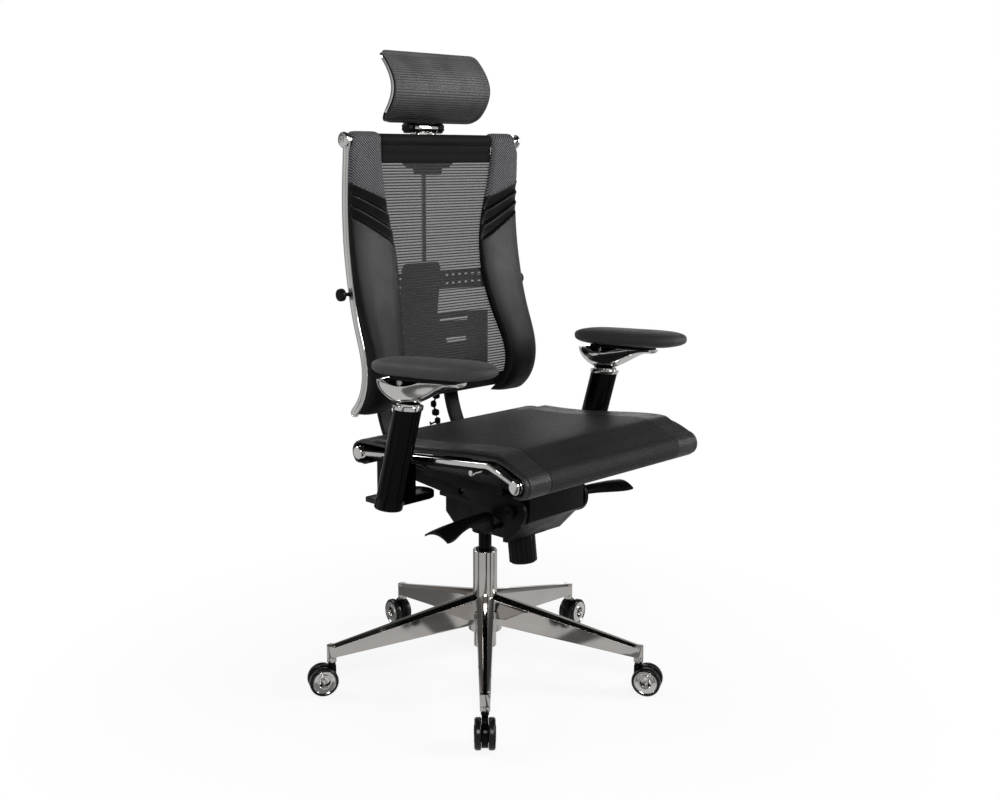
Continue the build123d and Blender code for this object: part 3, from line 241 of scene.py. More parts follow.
def tube(line, radius, sides):
    """A round tube along a line of points in 3-D, in millimetres."""
    line = np.asarray(line, float)
    d = np.gradient(line, axis=0)
    d /= np.linalg.norm(d, axis=1)[:, None]
    side = np.cross(d, (0.13, 0.31, 0.94))
    side /= np.linalg.norm(side, axis=1)[:, None]
    up = np.cross(d, side)
    angle = np.arange(sides) * 2 * pi / sides
    radius = np.broadcast_to(radius, (len(line),))
    ring = (
        side[:, None] * np.cos(angle)[None, :, None] + up[:, None] * np.sin(angle)[None, :, None]
    ) * radius[:, None, None]
    return skin(line[:, None] + ring)


def stitches(line, normals, long=3.4, space=1.6, radius=0.42):
    """Short rounded threads along a line on a surface, each dipping in at its ends."""
    run = lengths(line)
    count = int(run[-1] / (long + space))
    found = []
    for i in range(count):
        marks = (i + 0.5) * run[-1] / count + np.linspace(-0.5, 0.5, 4) * long
        at = np.column_stack([np.interp(marks, run, line[:, k]) for k in range(3)])
        n = np.column_stack([np.interp(marks, run, normals[:, k]) for k in range(3)])
        lift = np.array([-0.35, 0.3, 0.3, -0.35])[:, None]
        found.append(tube(at + n * lift, [radius * 0.6, radius, radius, radius * 0.6], 5))
    return joined(*found)


# ---- materials ----
def grey(level):
    """A grey of this level."""
    return (level, level, level)


def scaled(colour, k):
    """A colour k times as bright."""
    return tuple(c * k for c in colour)


def feed(nt, socket, value):
    """Set an input to a value, or link it where the value is another node's output."""
    if isinstance(value, bpy.types.NodeSocket):
        nt.links.new(value, socket)
    else:
        socket.default_value = value


def add_node(nt, kind, inputs=(), out=0, **props):
    """A new node with its inputs and properties set. Returns one of its outputs."""
    n = nt.nodes.new(kind)
    for key, value in props.items():
        setattr(n, key, value)
    for key, value in dict(inputs).items():
        feed(nt, n.inputs[key], value)
    return n.outputs[out]


class Shade:
    """A Principled material and short calls for the nodes that drive it."""

    def __init__(self, name, colour, rough, metal=0.0, **plain):
        self.mat = bpy.data.materials.new(name)
        self.mat.use_nodes = True
        self.nt = self.mat.node_tree
        self.bsdf = self.nt.nodes["Principled BSDF"]
        self.colour = colour
        self.set("Base Color", (*colour, 1))
        self.set("Roughness", rough)
        self.set("Metallic", metal)
        for key, value in plain.items():
            self.set(key.replace("_", " "), value)

    def set(self, name, value):
        feed(self.nt, self.bsdf.inputs[name], value)

    def node(self, kind, inputs=(), out=0, **props):
        return add_node(self.nt, kind, inputs, out, **props)

    def place(self):
        """Where the point lies, in metres."""
        return self.node("ShaderNodeTexCoord", out="Object")

    def flat(self):
        """Where the point lies on the cloth laid flat, in metres."""
        return self.node("ShaderNodeAttribute", out="Vector", attribute_name="flat")

    def axis(self, vector, k):
        """One of the three numbers of a vector."""
        return self.node("ShaderNodeSeparateXYZ", {0: vector}, out=k)

    def maths(self, kind, a, b=0.0, clamp=False):
        return self.node("ShaderNodeMath", {0: a, 1: b}, operation=kind, use_clamp=clamp)

    def noise(self, scale, detail=3.0, stretch=None):
        where = self.place()
        if stretch:
            where = self.node("ShaderNodeMapping", {"Vector": where, "Scale": stretch})
        return self.node("ShaderNodeTexNoise", {"Vector": where, "Scale": scale, "Detail": detail})

    def spread(self, value, low, high, at=(0.3, 0.7)):
        """The value moved from the range at to the range from low to high."""
        ends = {"From Min": at[0], "From Max": at[1], "To Min": low, "To Max": high}
        return self.node("ShaderNodeMapRange", {"Value": value, **ends})

    def mix(self, share, a, b):
        """A colour between a and b."""
        ends = {k: (*c, 1) if isinstance(c, tuple) else c for k, c in ((6, a), (7, b))}
        return self.node("ShaderNodeMix", {0: share, **ends}, out=2, data_type="RGBA")

    def shades(self, share, low, high):
        """Base colour between two multiples of the material's own colour."""
        return self.mix(share, scaled(self.colour, low), scaled(self.colour, high))

    def bump(self, height, distance):
        self.set("Normal", self.node("ShaderNodeBump", {"Height": height, "Distance": distance}))


def moulded(name, colour, rough, grain=900.0, depth=0.00008, spread=0.08, shine=0.22):
    """Moulded plastic or powder-coated metal: a fine grain, cloudy gloss and brighter edges, part wear,
    part painted highlight.
    """
    s = Shade(name, colour, rough, Specular_IOR_Level=shine)
    cloud = s.noise(14, 4)
    # painted highlight and wear: edges found by pointiness are painted 1.9 times as bright as the colour
    edge = s.spread(s.node("ShaderNodeNewGeometry", out="Pointiness"), 0, 1, (0.5, 0.56))
    s.set("Base Color", s.mix(edge, s.shades(s.spread(cloud, 0, 1), 0.8, 1.2), scaled(colour, 1.9)))
    s.set("Roughness", s.spread(s.noise(40, 5), rough - spread, rough + spread))
    s.bump(s.noise(grain, 2), depth)
    return s.mat


def bright(name, colour, rough, haze=0.05, brushed=None):
    """Polished or brushed metal with faint smears."""
    s = Shade(name, colour, rough, 1.0)
    smear = s.noise(9, 6, stretch=(1, 1, 3))
    s.set("Base Color", s.shades(s.spread(smear, 0, 1), 0.94, 1.04))
    s.set("Roughness", s.spread(s.noise(60, 6), rough, rough + haze))
    if brushed:
        s.bump(s.noise(700, 3, stretch=brushed), 0.00002)
    else:
        s.bump(s.noise(25, 2), 0.00004)
    return s.mat


def leather(name, colour, rough, grain=620.0, depth=0.00022, shine=0.4, sheen=0.08, painted_shade_level=None):
    """Leather: pebbled cells with creases between them, clouded colour and a soft shine. Its last argument
    gives painted shade: the part of its own colour and shine left where it faces sideways or down, or hangs
    low."""
    s = Shade(name, colour, rough, Sheen_Weight=sheen, Sheen_Roughness=0.45, Specular_IOR_Level=shine)
    s.set("Sheen Tint", (0.8, 0.8, 0.8, 1))
    cells = s.node(
        "ShaderNodeTexVoronoi", {"Vector": s.place(), "Scale": grain, "Randomness": 0.9},
        feature="DISTANCE_TO_EDGE",
    )
    crease = s.spread(cells, 0, 1, (0.0, 0.18))
    cloud = s.spread(s.noise(7, 4), 0, 1)
    pebbles = s.maths("MULTIPLY", crease, 0.8)
    tone = s.mix(pebbles, scaled(colour, 0.55), s.shades(cloud, 0.85, 1.15))
    s.set("Roughness", s.spread(s.noise(30, 5), rough - 0.06, rough + 0.08))
    # painted shade: darker and less shiny where the hide faces sideways or down, or hangs low
    if painted_shade_level is not None:
        facing = s.node("ShaderNodeNewGeometry", out="Normal")
        front = s.spread(s.maths("MULTIPLY", s.axis(facing, 1), -1.0), 0, 1, (0.62, 1.0))
        level = s.spread(s.axis(facing, 2), 0, 1, (-0.22, 0.16))
        high = s.spread(s.axis(s.place(), 2), 0.2, 1, (0.66, 0.86))
        painted_lit_share = s.maths("MULTIPLY", s.maths("MULTIPLY", front, level), high)
        tone = s.mix(painted_lit_share, scaled(colour, painted_shade_level), tone)
        s.set("Specular IOR Level", s.spread(painted_lit_share, shine * painted_shade_level, shine, (0, 1)))
    s.set("Base Color", tone)
    s.bump(s.maths("ADD", crease, s.maths("MULTIPLY", s.noise(180, 3), 0.9)), depth)
    return s.mat


def weave(name, colour, light, pitch, rough=0.75, depth=0.0003, slant=None, sheen=0.1, shine=0.25):
    """Woven cloth: a check of threads, or slanted stripes where slant is given in degrees. pitch: the
    distance between threads in millimetres."""
    s = Shade(name, colour, rough, Sheen_Weight=sheen, Sheen_Roughness=0.5, Specular_IOR_Level=shine)
    s.set("Sheen Tint", (0.8, 0.8, 0.8, 1))
    x, y = s.axis(s.flat(), 0), s.axis(s.flat(), 1)
    turn = 2 * pi / (pitch * MM)
    if slant is not None:
        across = s.maths("MULTIPLY", x, turn * sin(radians(slant)))
        along = s.maths("MULTIPLY", y, turn * cos(radians(slant)))
        thread = s.maths("SINE", s.maths("ADD", across, along))
        share = s.spread(thread, 0, 1, (-0.35, 0.5))
        cross = s.maths("SUBTRACT", s.maths("MULTIPLY", across, 2.0), s.maths("MULTIPLY", along, 2.0))
        height = s.maths("ADD", share, s.maths("MULTIPLY", s.maths("SINE", cross), 0.15))
    else:
        a = s.maths("SINE", s.maths("MULTIPLY", x, turn))
        b = s.maths("SINE", s.maths("MULTIPLY", y, turn))
        share = s.spread(s.maths("MULTIPLY", a, b), 0, 1, (-0.7, 0.7))
        height = s.maths("ADD", share, s.maths("MULTIPLY", s.spread(b, 0, 1, (0.55, 0.95)), -0.5))
    fuzz = s.spread(s.noise(900, 3), 0.86, 1.14)
    tone = s.mix(s.maths("MULTIPLY", share, fuzz, clamp=True), colour, light)
    dark = s.spread(s.noise(11, 3), 0, 1)
    s.set("Base Color", s.mix(s.maths("MULTIPLY", dark, 0.25), tone, colour))
    s.set("Roughness", s.spread(share, rough + 0.1, rough - 0.05, (0, 1)))
    s.bump(height, depth)
    return s.mat


def net(name, colour, solid, pitch, rough=0.7):
    """See-through woven net: fine upright and level threads with gaps between them."""
    s = Shade(name, colour, rough)
    turn = 2 * pi / (pitch * MM)
    warp = s.maths("SINE", s.maths("MULTIPLY", s.axis(s.flat(), 0), turn))
    weft = s.maths("SINE", s.maths("MULTIPLY", s.axis(s.flat(), 1), turn * 1.25))
    threads = s.maths("MAXIMUM", warp, s.maths("MULTIPLY", weft, 0.8))
    s.set("Alpha", s.spread(threads, solid - 0.3, min(solid + 0.3, 1.0), (-0.4, 0.6)))
    s.set("Base Color", s.shades(s.spread(s.noise(300, 3), 0, 1), 0.75, 1.3))
    s.bump(threads, 0.0002)
    return s.mat


def ribbed(name, colour, light, pitch, heights):
    """Close-woven net with level threads, with painted light: paler towards the upper of two heights in
    metres.
    """
    s = Shade(name, colour, 0.4, Specular_IOR_Level=0.3)
    thread = s.maths("SINE", s.maths("MULTIPLY", s.axis(s.flat(), 1), 2 * pi / (pitch * MM)))
    # painted light: the net is paler towards the top, darker below
    pale = s.spread(s.axis(s.place(), 2), 0.12, 0.85, heights)
    share = s.maths("MULTIPLY", pale, s.spread(thread, 0.9, 1.0, (-1, 1)))
    share = s.maths("MULTIPLY", share, s.spread(s.noise(20, 4), 0.75, 1.2), clamp=True)
    s.set("Base Color", s.mix(share, colour, light))
    s.bump(s.maths("ADD", thread, s.noise(1500, 2)), 0.0003)
    return s.mat


BLACK_PLASTIC = moulded("black_plastic", grey(0.003), 0.36, shine=0.1)
GLOSS_PLASTIC = moulded("gloss_plastic", grey(0.001), 0.16, 500, 0.00003, 0.05, 0.09)
BLACK_STEEL = moulded("black_steel", grey(0.003), 0.36, 1200, 0.0001, shine=0.09)
TYRE = moulded("tyre", grey(0.004), 0.26, 700, 0.00006, shine=0.25)
CHROME = bright("chrome_base", (0.60, 0.575, 0.55), 0.05)
TRIM = bright("chrome_trim", (0.76, 0.75, 0.735), 0.06)
STEEL = bright("steel", grey(0.5), 0.22, 0.12, (1, 1, 20))
# painted light: the bolsters' hide is a lighter copy of the seat's leather, for the sheen on the bolsters,
# and carries painted shade
HIDE = leather("leather", grey(0.013), 0.42, shine=0.6, sheen=0.02, painted_shade_level=0.22)
# painted shade: near-black leather laid in the recessed part of each bolster pleat
PLEAT_PAINTED_SHADE = moulded("leather_crease", grey(0.0015), 0.7, shine=0.05)
SEAT_HIDE = leather("leather_seat", grey(0.008), 0.35, shine=0.45, sheen=0.02)
PAD_SKIN = leather("soft_pad", (0.040, 0.040, 0.041), 0.5, 1100, 0.00012, shine=0.35)
SEAT_CLOTH = weave("mesh_seat", grey(0.002), grey(0.022), 5.2, 0.44, 0.0006, sheen=0.01, shine=0.17)
TWILL = weave("twill", (0.012, 0.012, 0.014), (0.14, 0.14, 0.15), 4.2, 0.62, 0.0004, slant=42)
NET = net("mesh_back", grey(0.03), 0.40, 1.6)
HEAD_NET = ribbed("mesh_head", grey(0.004), grey(0.115), 5.5, (1.175, 1.32))
RIB = moulded("mesh_rib", grey(0.018), 0.55, 1500, 0.0001)
SLEEVE = weave("mesh_sleeve", grey(0.004), grey(0.011), 1.8, 0.6, 0.00015, sheen=0.01, shine=0.1)
FOLDS = weave("mesh_folds", grey(0.002), grey(0.007), 1.8, 0.6, 0.00015, sheen=0.01, shine=0.1)
THREAD = moulded("thread", grey(0.03), 0.6, 3000, 0.00005)


# ---- carried-over CAD nodes ----
CAD_FINISH = {
    "star_base": (CHROME, 0.9),
    "column_tube": (CHROME, 0.4),
    "column_bush": (BLACK_PLASTIC, 0.3),
    "thrust_bearing": (STEEL, 0.3),
    "piston_rod": (STEEL, 0.3),
    "gas_cylinder": (GLOSS_PLASTIC, 0.6),
    "mech_housing": (BLACK_STEEL, 1.2),
    "yoke_pin": (BLACK_STEEL, 0.8),
    "tilt_spring": (STEEL, 0.0),
    "tension_knob": (BLACK_PLASTIC, 0.6),
    "height_lever": (BLACK_PLASTIC, 1.5),
    "tilt_lever": (BLACK_PLASTIC, 1.5),
    "back_yoke": (BLACK_STEEL, 1.2),
    "seat_subframe": (BLACK_STEEL, 0.8),
    "seat_rail_left": (TRIM, 0.0),
    "seat_rail_right": (TRIM, 0.0),
    "seat_front_bar": (BLACK_STEEL, 0.4),
    "seat_rear_bar": (BLACK_STEEL, 0.4),
    "seat_caps_and_bolts": (TRIM, 0.6),
    "back_top_bar": (BLACK_STEEL, 0.4),
    "back_bottom_bar": (BLACK_STEEL, 0.4),
    "back_end_caps": (TRIM, 0.8),
    "back_carrier": (BLACK_PLASTIC, 1.5),
    "back_spine": (BLACK_PLASTIC, 1.0),
    "lumbar_bar": (BLACK_STEEL, 0.5),
    "lumbar_knobs": (BLACK_PLASTIC, 0.6),
    "lumbar_pad": (BLACK_PLASTIC, 1.0),
    "headrest_bracket": (TRIM, 0.8),
    "headrest_knobs": (BLACK_PLASTIC, 0.5),
    "headrest_frame": (BLACK_PLASTIC, 1.2),
}
for side in SIDES:
    CAD_FINISH[f"arm_post_{side}"] = (GLOSS_PLASTIC, 1.2)
    CAD_FINISH[f"arm_cradle_{side}"] = (TRIM, 0.5)
    CAD_FINISH[f"arm_slide_{side}"] = (BLACK_PLASTIC, 0.8)


def dress(name, material, edge, more=()):
    """Give a CAD node its material, welded and softly bevelled edges. more: (material, test) pairs,
    where a face takes that material if its middle, in millimetres, passes the test."""
    obj = NODES[name]
    obj.modifiers.clear()
    obj.data.materials.clear()
    for m in [material] + [m for m, _ in more]:
        obj.data.materials.append(m)
    if more:
        for face in obj.data.polygons:
            middle = face.center / MM
            for k, (_, test) in enumerate(more):
                if test(middle, face.normal):
                    face.material_index = k + 1
    weld = obj.modifiers.new("weld", "WELD")
    weld.merge_threshold = 0.00001
    if edge:
        bevel = obj.modifiers.new("bevel", "BEVEL")
        bevel.width = edge * MM
        bevel.segments = 2
        bevel.limit_method = "ANGLE"
        bevel.angle_limit = radians(32)
    obj.data.shade_smooth()
    obj.data.set_sharp_from_angle(angle=radians(40))


def in_bowl(side):
    """True for the faces that line the hollow of an arm cradle and for those of its pivot boss."""

    def test(p, n):
        back = p[1] - PAD_PLACE[1]
        x = side * (PAD_PLACE[0] + back * tan(radians(PAD_TOE_DEG)))
        inward = Vector((x, p[1], BOWL_MIDDLE_Z - back * BOWL_SLOPE)) - p
        if p[2] < BOWL_MIDDLE_Z - BOWL_DEEP or inward.length < 4:
            return False
        in_boss = sqrt(inward[0] ** 2 + (back - PIVOT_BACK) ** 2) < BOSS_R
        return in_boss or n.dot(inward.normalized()) > 0.3

    return test


def on_head_side(p, n):
    """True for the faces at the two ends of the headrest's frame."""
    return abs(p[0]) > HEAD_HALF_W - 1.5 and abs(n[0]) > 0.7


MORE = {"headrest_frame": [(TRIM, on_head_side)]}
for name, side in SIDES.items():
    MORE[f"arm_cradle_{name}"] = [(GLOSS_PLASTIC, in_bowl(side))]

for name, (material, edge) in CAD_FINISH.items():
    dress(name, material, edge, MORE.get(name, ()))


# ---- seat ----
SEAM_X = 190.0
SEAM_DEEP, SEAM_WIDE = 2.4, 2.8
SEAT_SPAN, SPAN_FADE = (-312.0, 80.0), 30.0  # where the sling hangs free of the bars
BAR_CLOTH_T, SPAN_EXTRA_T = 6.6, SLING_T - 6.8
EDGE_X, EDGE_HALF_W, EDGE_T, EDGE_END_T = 249.6, 5.6, 5.6, 3.0
STITCH_ROWS, STITCH_LIFT = (3.2, 6.0), 0.55


def seat_path():
    """The sling's under side from below the rear bar, over the top, to below the front bar, in (y, z)."""
    rear = arc(SEAT_REAR, SEAT_ROLL_R, -100, 84, 60)
    top = cubic(SEAT_TOP, 260)
    front = arc(SEAT_FRONT, SEAT_ROLL_R, 100, 290, 60)
    return resample(np.vstack([rear, top[3:-3], front]), 330)


def rail_top(y):
    """Height of the top of the seat rail, with the round plates at its ends."""
    line = np.array(SEAT_RAIL[::-1], float)
    top = np.interp(y, line[:, 0], line[:, 1]) + SEAT_RAIL_HALF_H
    for at, z in (SEAT_FRONT, SEAT_REAR):
        top = np.maximum(top, z + np.sqrt(np.clip(SEAT_PLATE_R**2 - (y - at) ** 2, 0, None)))
    return top


def seat_skin(x0, x1, puff=0.0, count=40):
    """A length of the sling between two widths, as rings and their flat cloth places. Each ring runs
    along the under side, with its puff and seam grooves, and back along the top."""
    path = seat_path()
    down = outward(path)
    y = path[:, 0]
    spanned = ease((y - SEAT_SPAN[0]) / SPAN_FADE) * ease((SEAT_SPAN[1] - y) / SPAN_FADE)
    thick = BAR_CLOTH_T + SPAN_EXTRA_T * spanned
    run = lengths(path)
    x = x0 + (x1 - x0) * np.linspace(0, 1, count)
    from_edges = np.abs(x - x0), np.abs(x1 - x)
    swell = puff * np.sin(pi * from_edges[0] / abs(x1 - x0)) ** 0.8
    for distance in from_edges:
        swell = swell - SEAM_DEEP * np.exp(-((distance / SEAM_WIDE) ** 2))
    rings, flat = [], []
    for i in range(len(path)):
        under = path[i] + down[i] * swell[:, None]
        top = path[i] - down[i] * (thick[i] * np.ones(count))[:, None]
        ring = np.vstack([np.column_stack([x, under]), np.column_stack([x, top])[::-1]])
        rings.append(ring)
        flat.append(np.column_stack([ring[:, 0], np.full(len(ring), run[i]), np.zeros(len(ring))]))
    return rings, flat


def seat_edge(side):
    """The padded strip along the sling's edge, on top of its line and thinner under the bars."""
    path = seat_path()
    down = outward(path)
    y, z = path.T
    under = (y > SEAT_FRONT[0]) & (y < SEAT_REAR[0]) & (z < rail_top(y) + 0.3)
    deep = np.where(under, 0, EDGE_T)
    soft = np.convolve(np.pad(deep, 6, mode="edge"), np.ones(13) / 13, mode="valid")
    deep = np.maximum(np.minimum(deep, soft), EDGE_END_T)
    turn = np.linspace(0, 2 * pi, 20, endpoint=False)
    across = EDGE_HALF_W * np.sign(np.cos(turn)) * np.abs(np.cos(turn)) ** 0.7
    rings = []
    for i in range(len(path)):
        half = deep[i] / 2 + 0.1
        level = half * (1 - np.sign(np.sin(turn)) * np.abs(np.sin(turn)) ** 0.7) - 0.2
        rings.append(np.column_stack([side * (EDGE_X + across), path[i] - down[i] * level[:, None]]))
    return skin(rings)


def build_seat():
    """Cloth centre, and per side a hide panel, a padded edge and two rows of stitches."""
    rings, flat = seat_skin(-SEAM_X, SEAM_X, count=90)
    centre = piece("seat_centre", *skin(rings), "seat", SEAT_CLOTH, "mesh", capped(flat))
    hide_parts("seat_sling")
    path = seat_path()
    down = outward(path)
    normals = np.column_stack([np.zeros(len(path)), down])
    ends_off = slice(20, -20)
    for name, side in SIDES.items():
        rings, _ = seat_skin(side * (SEAM_X + 0.4), side * (SEAT_HALF_W - 0.5), puff=1.2)
        panel = piece(f"seat_side_{name}", *skin(rings), "seat", SEAT_HIDE, "leather")
        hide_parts("seat_sling")
        edge = piece(f"seat_edge_{name}", *seat_edge(side), "seat", SEAT_HIDE, "leather")
        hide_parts("seat_sling")
        for k, shift in enumerate(STITCH_ROWS):
            x = np.full(len(path), side * (SEAM_X + shift))
            line = np.column_stack([x, path + down * STITCH_LIFT])
            threads = stitches(line[ends_off], normals[ends_off])
            piece(f"seat_stitch_{name}_{k + 1}", *threads, "seat", THREAD, "leather")


build_seat()


# ---- back net ----
TOP_BAND_LOW, TOP_BAND_HIGH = 1106.0, 1138.0
RIB_PITCH, RIB_H, RIB_T = 6.0, 2.7, 1.7
SLEEVE_FOLDS, FOLD_DEEP, SLEEVE_HALF_T = 2, 1.3, 1.2


def net_line():
    """Front-to-back middle of the net at each height, bottom to top, in (y, z)."""
    z = np.linspace(MESH_LOW, TOP_BAND_LOW + 4, 240)
    return np.column_stack([back_y(z) - RAIL_HALF_D - 2.0, z])


def strip(line, inner, outer, x0, x1, count):
    """A closed band of cloth from x0 to x1 along a line, between two offsets from it."""
    out = outward(line)
    a, b = line + out * outer, line + out * inner
    x = np.linspace(x0, x1, count)
    rings = []
    for i in range(len(line)):
        top = np.column_stack([x, np.tile(a[i], (count, 1))])
        low = np.column_stack([x, np.tile(b[i], (count, 1))])[::-1]
        rings.append(np.vstack([top, low]))
    flat = np.array(rings)
    flat[:, :, 1] = lengths(line)[:, None]
    flat[:, :, 2] = 0
    return *skin(rings), capped(flat)


def net_ribs(line):
    """The net's thick level threads, one bar per pitch."""
    run, out = lengths(line), outward(line)
    turn = np.linspace(0, 2 * pi, 8, endpoint=False)[:, None]
    ribs = []
    for k in range(1, int(run[-1] / RIB_PITCH)):
        y, z, ny, nz = (np.interp(k * RIB_PITCH, run, c) for c in (*line.T, *out.T))
        across, up = np.array((ny, nz)), np.array((-nz, ny))
        ring = np.array([y, z]) + RIB_T / 2 * np.cos(turn) * across + RIB_H / 2 * np.sin(turn) * up
        ends = (-MESH_HALF_W + 1, MESH_HALF_W - 1)
        ribs.append(skin([np.column_stack([np.full(8, x), ring]) for x in ends]))
    return joined(*ribs)


def build_back_net():
    """The stretched net with its thick threads, the sleeve on the top bar and the hem below."""
    line = net_line()
    points, faces, flat = strip(line, -0.5, 0.5, -MESH_HALF_W, MESH_HALF_W, 24)
    sheet = piece("back_net", points, faces, "back", NET, "mesh", flat)
    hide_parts("back_mesh")
    rib = piece("back_net_ribs", *net_ribs(line), "back", RIB, "mesh")
    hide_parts("back_mesh")
    # the sleeve that carries the net on the top bar: flat folds under a roll
    z = np.linspace(TOP_BAND_LOW - 4, TOP_BAND_HIGH, 60)
    part = (z - z[0]) / (z[-1] - z[0]) * SLEEVE_FOLDS % 1.0
    y = back_y(z) - RAIL_HALF_D - 2.2 - FOLD_DEEP * np.sin(pi * part) ** 0.5
    folds = np.column_stack([y, z])
    over = np.vstack([folds[-1:], arc(TOP_BAR, MESH_ROLL_R - 1.4, 172, 96, 16)])
    rest = arc(TOP_BAR, MESH_ROLL_R - 1.4, 94, -150, 46)
    half_w, half_t = MESH_TOP_HALF_W, SLEEVE_HALF_T
    points, faces, flat = strip(folds, -half_t, 1.0, -half_w, half_w, 30)
    sleeve = piece("back_top_folds", points, faces, "back", FOLDS, "mesh", flat)
    bands = [strip(over, -half_t, half_t, -half_w, half_w, 30)]
    for side in SIDES.values():
        bands.append(strip(rest, -half_t, half_t, side * SPINE_HALF_W, side * half_w, 8))
    points, faces = joined(*[band[:2] for band in bands])
    flat = np.vstack([band[2] for band in bands])
    top_roll = piece("back_top_sleeve", points, faces, "back", SLEEVE, "mesh", flat)
    points, faces, flat = strip(line[:16], -1.3, 1.3, -MESH_HALF_W, MESH_HALF_W, 8)
    hem = piece("back_net_hem", points, faces, "back", SLEEVE, "mesh", flat)
    for made in (sleeve, top_roll, hem):
        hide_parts("back_mesh")


build_back_net()


# ---- side bolsters ----
# height, inner edge, thickness at that height
BOLSTER = [
    (1142, 160, 9),
    (1060, 151, 15),
    (960, 128, 19),
    (870, 122, 24),
    (780, 134, 28),
    (700, 150, 30),
    (640, 154, 26),
    (592, 146, 14),
]
BOLSTER_LOW = 592.0
BOLSTER_TOP_IN, BAR_PAD_T = 8.5, 6.6  # how far the outer edge moves in on the top bar, padding there
LOW_ROUND, TOP_ROUND = 16.0, 4.0
# heights at the outer edge and at PLEAT_X of the cloth's seam and of the last pleat's end
PLEAT_HIGH, PLEAT_LOW, PLEAT_X = (1063.0, 1029.0), (993.0, 942.0), 150.0
PLEATS = 3
PLEAT_DEEP, PLEAT_PROUD, PLEAT_STEP = 5.5, 2.2, 0.92
BACK_POINTS = 14  # points across the flat back of a bolster's ring


def rounding(distance, length):
    """0 at an end and 1 from the length on, like a quarter of a circle."""
    return 1 - np.clip(1 - distance / length, 0, 1) ** 2


def bolster_shape():
    """Along a bolster, from its lower end over the top bar: base line, its normals, height, inner and
    outer edge, thickness, running length, and the share that lies on the top bar."""
    table = np.array(BOLSTER, float)[::-1]
    inner_line = cubic(table[:, [1, 0]], 200)
    thick_line = cubic(table[:, [2, 0]], 200)
    z = np.linspace(BOLSTER_LOW + 0.5, TOP_BAR[1], 300)
    base = np.column_stack([back_y(z) + MESH_FRONT - 0.4, z])
    blend_in = ease((z - 1120) / 28)[:, None]
    bar_front = np.column_stack([np.full(len(z), TOP_BAR[0] - TOP_BAR_R - 0.4), z])
    base = base * (1 - blend_in) + bar_front * blend_in
    roll = arc(TOP_BAR, TOP_BAR_R + 0.4, 180, -60, 70)[1:]
    base = np.vstack([base, roll])
    height = np.concatenate([z, np.full(len(roll), TOP_BAR[1])])
    on_bar = np.concatenate([blend_in[:, 0], np.ones(len(roll))])
    inner = np.interp(height, inner_line[:, 1], inner_line[:, 0])
    inner = inner * (1 - on_bar) + (MESH_TOP_HALF_W + 1.0) * on_bar
    thick = np.interp(height, thick_line[:, 1], thick_line[:, 0])
    thick = thick * (1 - on_bar) + BAR_PAD_T * on_bar
    outer = BOLSTER_OUT - BOLSTER_TOP_IN * on_bar
    run = lengths(base)
    low_round = np.sqrt(np.clip(rounding(run, LOW_ROUND), 0.02, 1))
    top_round = np.sqrt(np.clip(rounding(run[-1] - run, TOP_ROUND), 0.05, 1))
    return base, outward(base), height, inner, outer, thick * low_round * top_round, run, on_bar


def pleat_place(x, z):
    """0 at the cloth's seam and 1 where the last pleat ends, down the bolster."""
    f = (BOLSTER_OUT - x) / (BOLSTER_OUT - PLEAT_X)
    high, low = (at[0] + (at[1] - at[0]) * f for at in (PLEAT_HIGH, PLEAT_LOW))
    return (high - z) / (high - low)


def pleat_fold(step):
    """How far a pleat stands out at each place from its start, 0, to its end, 1."""
    whole = PLEAT_PROUD + PLEAT_DEEP
    fold = PLEAT_PROUD - whole * ease(step / PLEAT_STEP) ** 0.8
    rise = -PLEAT_DEEP + whole * ease((step - PLEAT_STEP) / (1 - PLEAT_STEP))
    return np.where(step > PLEAT_STEP, rise, fold)


